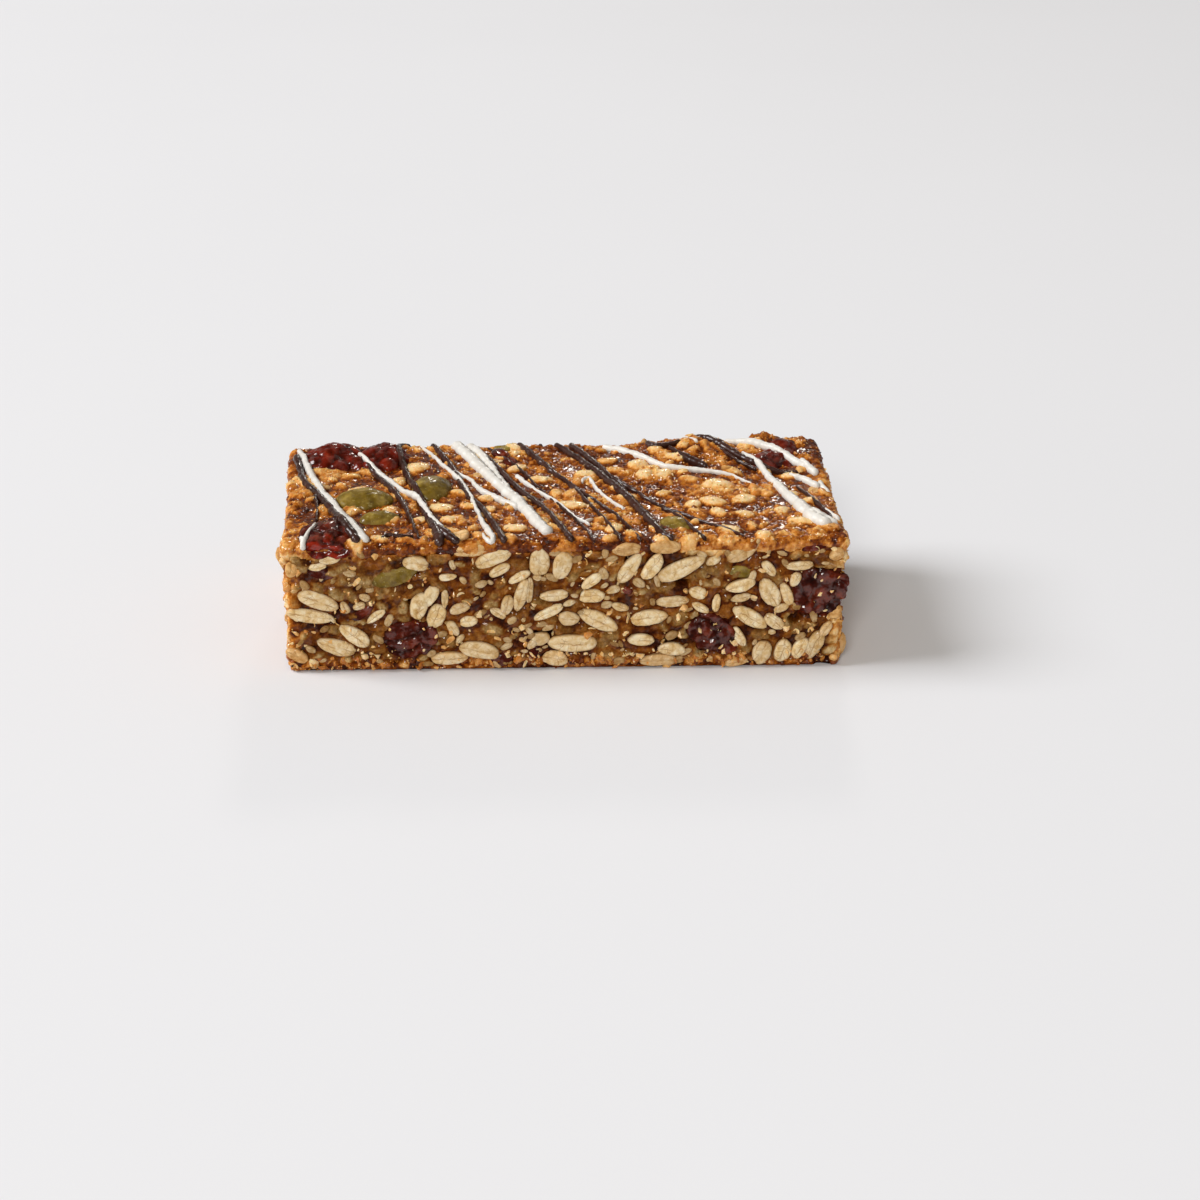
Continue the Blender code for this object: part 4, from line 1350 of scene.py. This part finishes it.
drizzle = dict(
    gridStep=0.35, gridMargin=2.0, gridBlur=1.2,
    spacing=0.35, spread=1.05, thickness=0.62, bury=0.7, wobble=0.14, uneven=0.16, sectionPoints=13, bendRadius=0.9,
    # each strand: its points (along, across) and its widths, spread evenly along it;
    # points beyond the front edge hang down over it
    dark=[
        ([(-50.6, 17.6), (-48.0, 5), (-45.4, 0), (-41, -11), (-39, -17.5), (-36.6, -22.8)], [1.3, 1.1, 1.4, 1.6]),
        ([(-45.6, -1), (-44.7, -8), (-44.6, -13.5)], [0.9, 0.5, 0.4]),
        ([(-38, 16), (-31.6, 1.5), (-29, -6), (-26, -20.4)], [0.6, 1.1, 0.8, 0.35]),
        ([(-28.8, 22.3), (-30.4, 22.6), (-31, 18.5), (-28.2, 4.4), (-24.8, -10.4), (-23, -18), (-22.2, -23.3)],
         [0.7, 1.2, 1.1, 1.2, 1.6, 1.8]),
        ([(-22.8, -17), (-20.8, -20.6), (-19, -23.0)], [0.9, 1.8, 1.2]),
        ([(-27.6, 2), (-25.6, -5), (-24.4, -10)], [0.4, 0.7, 0.4]),
        ([(-24.6, 22.4), (-20.1, 9.2), (-18.4, 0.6), (-15.3, -6.8), (-12.6, -16.2), (-11, -23.2)], [1.1, 1.1, 0.9, 1.0, 1.2]),
        ([(-16.7, 21.6), (-13, 13.2), (-7.9, 0.4), (-3.5, -8.5), (1.0, -22.6)], [1.1, 1.0, 1.1, 0.9, 1.1]),
        ([(-14, 21.6), (-8.1, 10.5), (-4.2, 0.8), (-0.7, -7.1), (2.6, -15.1), (4.9, -22.9)], [0.4, 0.55, 0.4, 0.5, 0.45]),
        ([(-7.8, 22.4), (-1.2, 7.8), (1.8, 1.7), (6.6, -12), (9.6, -22.5)], [1.2, 1.1, 0.6, 0.5, 0.5]),
        ([(1.2, 3), (4.1, -2.3), (9.1, -11.1), (13, -22.9)], [0.5, 0.6, 0.5, 0.6]),
        ([(-4, 22.6), (-3.2, 22.2)], [0.8, 0.7]),
        ([(-0.7, 22.6), (5.6, 10.3), (12.2, -4.9), (15.2, -14.5), (17, -20.5), (18.8, -23.0)], [1.1, 1.3, 1.4, 1.7, 1.0]),
        ([(2.2, 22.4), (6.4, 12.8), (9.4, 5), (11.8, -1)], [1.1, 1.1, 0.9, 0.6]),
        ([(9, 5), (13.6, -1.6), (18.1, -8.4), (22.6, -13.3), (28.3, -18.9), (31.5, -22.1)], [0.9, 0.7, 0.6, 0.5, 0.35]),
        ([(17.8, -8.6), (20.7, -13.7), (24.6, -22.9)], [0.5, 0.5, 0.6]),
        ([(17.1, 21.6), (18.8, 18.6), (23.7, 20)], [1.2, 1.0, 0.5]),
        ([(21, 18), (24.4, 12), (26.8, 9.4), (27.8, 8.2)], [0.6, 0.8, 1.9, 0.9]),
        ([(26.6, 22.4), (29.2, 20.4), (31.4, 17.6), (35.4, 11.8), (38, 8.8), (41, 6.6), (44.8, 5.6)], [1.4, 1.7, 1.2, 0.9, 0.6]),
        ([(30.9, 16.6), (33.8, 11.4), (37, 7.4)], [0.4, 0.6, 0.7]),
        ([(43.6, 0.2), (46.5, -7.6), (47.9, -12.2), (49.6, -14.6)], [0.4, 0.7, 0.8, 0.5]),
        ([(-32.6, -21.2), (-31.6, -19.2), (-29.2, -19.8), (-27, -19.4)], [0.5, 0.7, 0.8, 0.4]),
    ],
    white=[
        ([(-50.3, 20.6), (-49.2, 16.6), (-45.5, 3.6), (-41.6, -6.2), (-38.3, -15.6), (-35.1, -22.4)], [0.9, 1.3, 1.2, 1.4, 1.6]),
        ([(-44.2, -16), (-45.4, -20.4), (-46.2, -24.4)], [0.5, 0.7, 1.1]),
        ([(-46.9, -21.2), (-45.9, -22.4)], [0.5, 0.7]),
        ([(-38.6, 16.4), (-33.2, 7.9), (-30.1, 1.8), (-26.6, -4.1), (-23.9, -12.7), (-21.8, -17.8)], [0.6, 1.0, 0.8, 0.9, 0.8]),
        ([(-27.3, 22.6), (-24.6, 17.2), (-20.6, 8.2), (-18.1, 2.1), (-16.2, -6.7), (-14.4, -16.1), (-12.9, -21.8),
          (-13.6, -22.8), (-15, -19.9)], [0.4, 0.6, 0.7, 0.6, 0.6, 0.7, 1.2, 0.4]),
        ([(-20.4, 8.7), (-17.2, 5.6), (-15.5, 1.5), (-10.7, -5.4), (-8.2, -8)], [0.4, 0.6, 1.0, 1.1, 1.3]),
        ([(-20.2, 22.4), (-15.3, 10.7), (-10.7, 0.4), (-8, -6), (-5.4, -14), (-3, -20)], [2.2, 2.2, 2.0, 2.1, 2.0]),
        ([(-17.6, 22.4), (-14, 13.3), (-10, 0.4)], [1.7, 1.4, 0.8]),
        ([(-8.5, 6.9), (-6, 2.3), (-1.2, -5.6), (1.9, -11.9), (4.4, -15.6)], [1.0, 0.5, 0.4, 0.4, 0.4]),
        ([(3.4, -14), (5.2, -13.2)], [0.35, 0.3]),
        ([(3.8, 3.2), (4.2, 4.4), (5.4, 4.4), (6.9, -1.4), (10.9, -9.2)], [0.5, 0.6, 0.6, 0.45, 0.6]),
        ([(8.6, 21.4), (13.6, 16.6), (17.2, 12.1), (19.8, 8.9), (24.4, 7.3), (30.9, 5.2), (35.5, 1)],
         [1.4, 1.3, 1.2, 1.0, 0.9, 0.5, 0.25]),
        ([(24.2, 22), (26.8, 18.2)], [0.5, 0.6]),
        ([(32.4, 22.4), (35.6, 20.8), (40.4, 16.4), (44.4, 10.8), (47, 7.2)], [1.0, 1.6, 1.4, 1.6]),
        ([(45.6, 9.6), (48.2, 4.6)], [1.1, 1.5]),
        ([(42.6, 4.6), (45, 3.2), (47.8, -0.6)], [0.7, 1.2, 1.4]),
        ([(48.2, 1.8), (49.4, -2.8)], [1.1, 1.0]),
        ([(35.1, 15.4), (37.6, 9.2), (39.9, 1), (42.5, -7.4), (44.6, -14.4), (47, -18.6)], [0.5, 1.1, 1.4, 1.8, 2.6, 2.4]),
        ([(44.4, -12.6), (47.4, -15.8), (48.8, -17)], [1.4, 1.6, 1.2]),
        ([(47.4, -10.4), (49.4, -15)], [0.5, 0.8]),
    ],
    seed=41,
)


def gridPlace(x, y, shape):
    step, margin = drizzle["gridStep"], drizzle["gridMargin"]
    column = np.clip(((x + halfLength + margin) / step).astype(int), 0, shape[0] - 1)
    line = np.clip(((y + halfDepth + margin) / step).astype(int), 0, shape[1] - 1)
    return column, line


def surfaceOf(*pieces):
    # the highest point of what is there, on a fine grid over the bar, softened as melted chocolate bridges it
    step, margin = drizzle["gridStep"], drizzle["gridMargin"]
    across = int((barLength + 2 * margin) / step) + 1
    deep = int((barDepth + 2 * margin) / step) + 1
    grid = np.full((across, deep), -1.0)
    for piece in pieces:
        flat = np.zeros(len(piece.data.vertices) * 3)
        piece.data.vertices.foreach_get("co", flat)
        rows = flat.reshape(-1, 3) / mm
        rows = rows[rows[:, 2] > barHeight - 3]
        np.maximum.at(grid, gridPlace(rows[:, 0], rows[:, 1], grid.shape), rows[:, 2])
    for _ in range(12):
        missing = grid < 0
        if not missing.any():
            break
        padded = np.pad(grid, 1, mode="edge")
        around = [padded[i:i + across, j:j + deep] for i in range(3) for j in range(3)]
        grid[missing] = np.max(around, axis=0)[missing]
    reach = int(3 * drizzle["gridBlur"] / step)
    kernel = np.exp(-0.5 * (np.arange(-reach, reach + 1) * step / drizzle["gridBlur"]) ** 2)
    kernel /= kernel.sum()

    def soften(line):
        return np.convolve(np.pad(line, reach, mode="edge"), kernel, "valid")

    for axis in (0, 1):
        grid = np.apply_along_axis(soften, axis, grid)
    return grid


def heightAt(grid, x, y):
    step, margin = drizzle["gridStep"], drizzle["gridMargin"]
    u = np.clip((x + halfLength + margin) / step - 0.5, 0, grid.shape[0] - 1.001)
    v = np.clip((y + halfDepth + margin) / step - 0.5, 0, grid.shape[1] - 1.001)
    i, j = u.astype(int), v.astype(int)
    fu, fv = u - i, v - j
    return ((1 - fu) * (1 - fv) * grid[i, j] + fu * (1 - fv) * grid[i + 1, j]
            + (1 - fu) * fv * grid[i, j + 1] + fu * fv * grid[i + 1, j + 1])


def smoothRoute(knots, spacing):
    # an even run of points on a smooth curve through the knots
    knots = np.array(knots, float)
    padded = np.concatenate([[2 * knots[0] - knots[1]], knots, [2 * knots[-1] - knots[-2]]])
    route = []
    for a, b, c, d in zip(padded[:-3], padded[1:-2], padded[2:-1], padded[3:]):
        t = np.linspace(0, 1, 24, endpoint=False)[:, None]
        route.append(0.5 * (2 * b + (c - a) * t + (2 * a - 5 * b + 4 * c - d) * t**2 + (3 * b - a - 3 * c + d) * t**3))
    route = np.concatenate([*route, knots[-1:]])
    lengths = np.concatenate([[0], np.cumsum(np.linalg.norm(np.diff(route, axis=0), axis=1))])
    count = max(5, int(lengths[-1] / spacing))
    wanted = np.linspace(0, lengths[-1], count)
    return np.stack([np.interp(wanted, lengths, route[:, axis]) for axis in (0, 1)], 1), wanted


def runningMean(values, reach):
    padded = np.pad(values, reach, mode="edge")
    return np.convolve(padded, np.ones(2 * reach + 1) / (2 * reach + 1), "valid")


def overEdge(y, z):
    # past the front edge a strand bends down; gives its place and its tip angle
    radius = drizzle["bendRadius"]
    past = np.maximum(0, -halfDepth + radius - 0.3 - y)
    angle = np.minimum(past / radius, math.pi / 2)
    hang = np.maximum(0, past - radius * math.pi / 2)
    y = np.where(past > 0, -halfDepth - 0.3 + radius - radius * np.sin(angle), y)
    return y, z - radius * (1 - np.cos(angle)) - hang, angle


def addStrand(pile, grid, knots, widths, dice):
    route, run = smoothRoute(knots, drizzle["spacing"])
    total = run[-1]
    ahead = unitRows(np.gradient(route, axis=0))
    sideways = np.stack([-ahead[:, 1], ahead[:, 0]], 1)
    phase = [dice.uniform(0, 6.3) for _ in range(6)]
    sway = sum(np.sin(run * wave + phase[k]) for k, wave in enumerate((0.9, 1.7, 3.1))) / 3
    route = route + sideways * (drizzle["wobble"] * sway)[:, None]
    width = drizzle["spread"] * np.interp(run / total, np.linspace(0, 1, len(widths)), widths)
    lumpy = sum(np.sin(run * wave + phase[3 + k]) for k, wave in enumerate((1.3, 2.6, 4.4))) / 3
    width = width * (1 + drizzle["uneven"] * lumpy)
    near = np.minimum(run, total - run)
    ends = np.clip(near / (0.5 * width + 0.05), 0, 1)
    rounded = np.sqrt(np.clip(1 - (1 - ends) ** 2, 0.02, 1))
    count = drizzle["sectionPoints"]
    angles = np.linspace(0, math.pi, count - 2)
    across = np.concatenate([np.cos(angles), [-0.7, 0.7]])
    rise = np.concatenate([np.sin(angles) ** 0.9, [-1, -1]])
    half = (0.5 * width * rounded)[:, None]
    x = route[:, :1] + sideways[:, :1] * across * half
    y = route[:, 1:] + sideways[:, 1:] * across * half
    middle = runningMean(heightAt(grid, route[:, 0], np.maximum(route[:, 1], -halfDepth + 1.2)), 7)[:, None]
    ground = 0.3 * heightAt(grid, x, np.maximum(y, -halfDepth + 1.2)) + 0.7 * middle
    tall = (drizzle["thickness"] * width**0.8 * rounded)[:, None]
    lift = np.where(rise > 0, rise * tall, rise * drizzle["bury"])
    y, z, angle = overEdge(y, ground)
    points = np.stack([x, y - lift * np.sin(angle), z + 0.12 + lift * np.cos(angle)], -1).reshape(-1, 3)
    faces = []
    for ring in range(len(route) - 1):
        for step in range(count):
            after = (step + 1) % count
            faces.append((ring * count + step, (ring + 1) * count + step, (ring + 1) * count + after, ring * count + after))
    faces.append(tuple(range(count)))
    last = (len(route) - 1) * count
    faces.append(tuple(last + step for step in reversed(range(count))))
    addToPile(pile, points, faces)
    # what is laid later passes over this strand
    np.maximum.at(grid, gridPlace(points[:, 0], points[:, 1], grid.shape), points[:, 2] - 0.3)


def darkMaterial():
    material = newMaterial("darkChocolate", {
        "Specular IOR Level": 0.1, "Coat Roughness": 0.14,
    })
    glossSpots(material, 3.0, 0.7, 0.7)
    colour = ramp(material, noiseFine(material, 2.4, 3), [(0.3, (0.022, 0.006, 0.003)), (0.7, (0.052, 0.018, 0.012))])
    plug(material, "Base Color", colour)
    plug(material, "Roughness", rescale(material, noiseFine(material, 1.2), 0.3, 0.7, 0.28, 0.45))
    bump(material, noiseFine(material, 0.9, 2), 0.03, 0.6)
    return material


def whiteMaterial():
    material = newMaterial("whiteChocolate", {
        "Specular IOR Level": 0.25, "Subsurface Weight": 0.15, "Subsurface Scale": 0.5 * mm,
        "Subsurface Radius": (1.0, 0.9, 0.75), "Coat Weight": 0.15, "Coat Roughness": 0.2,
    })
    colour = ramp(material, noiseFine(material, 2.6, 3), [(0.3, (0.64, 0.60, 0.54)), (0.7, (0.74, 0.72, 0.67))])
    plug(material, "Base Color", colour)
    plug(material, "Roughness", rescale(material, noiseFine(material, 1.2), 0.3, 0.7, 0.28, 0.45))
    bump(material, noiseFine(material, 1.1, 2), 0.03, 0.5)
    return material


def makeDrizzle():
    dice = random.Random(drizzle["seed"])
    grid = surfaceOf(*(bpy.data.objects[name] for name in ("topCrust", "crustGrains", "crustCrumbs")), *fruit)
    looks = (("dark", darkMaterial(), "dark_chocolate"), ("white", whiteMaterial(), "white_chocolate"))
    for kind, look, slotName in looks:
        pile = newPile()
        for knots, widths in drizzle[kind]:
            addStrand(pile, grid, knots, widths, dice)
        finishPiece(pilePiece(kind + "Drizzle", pile, look), slotName)


makeDrizzle()
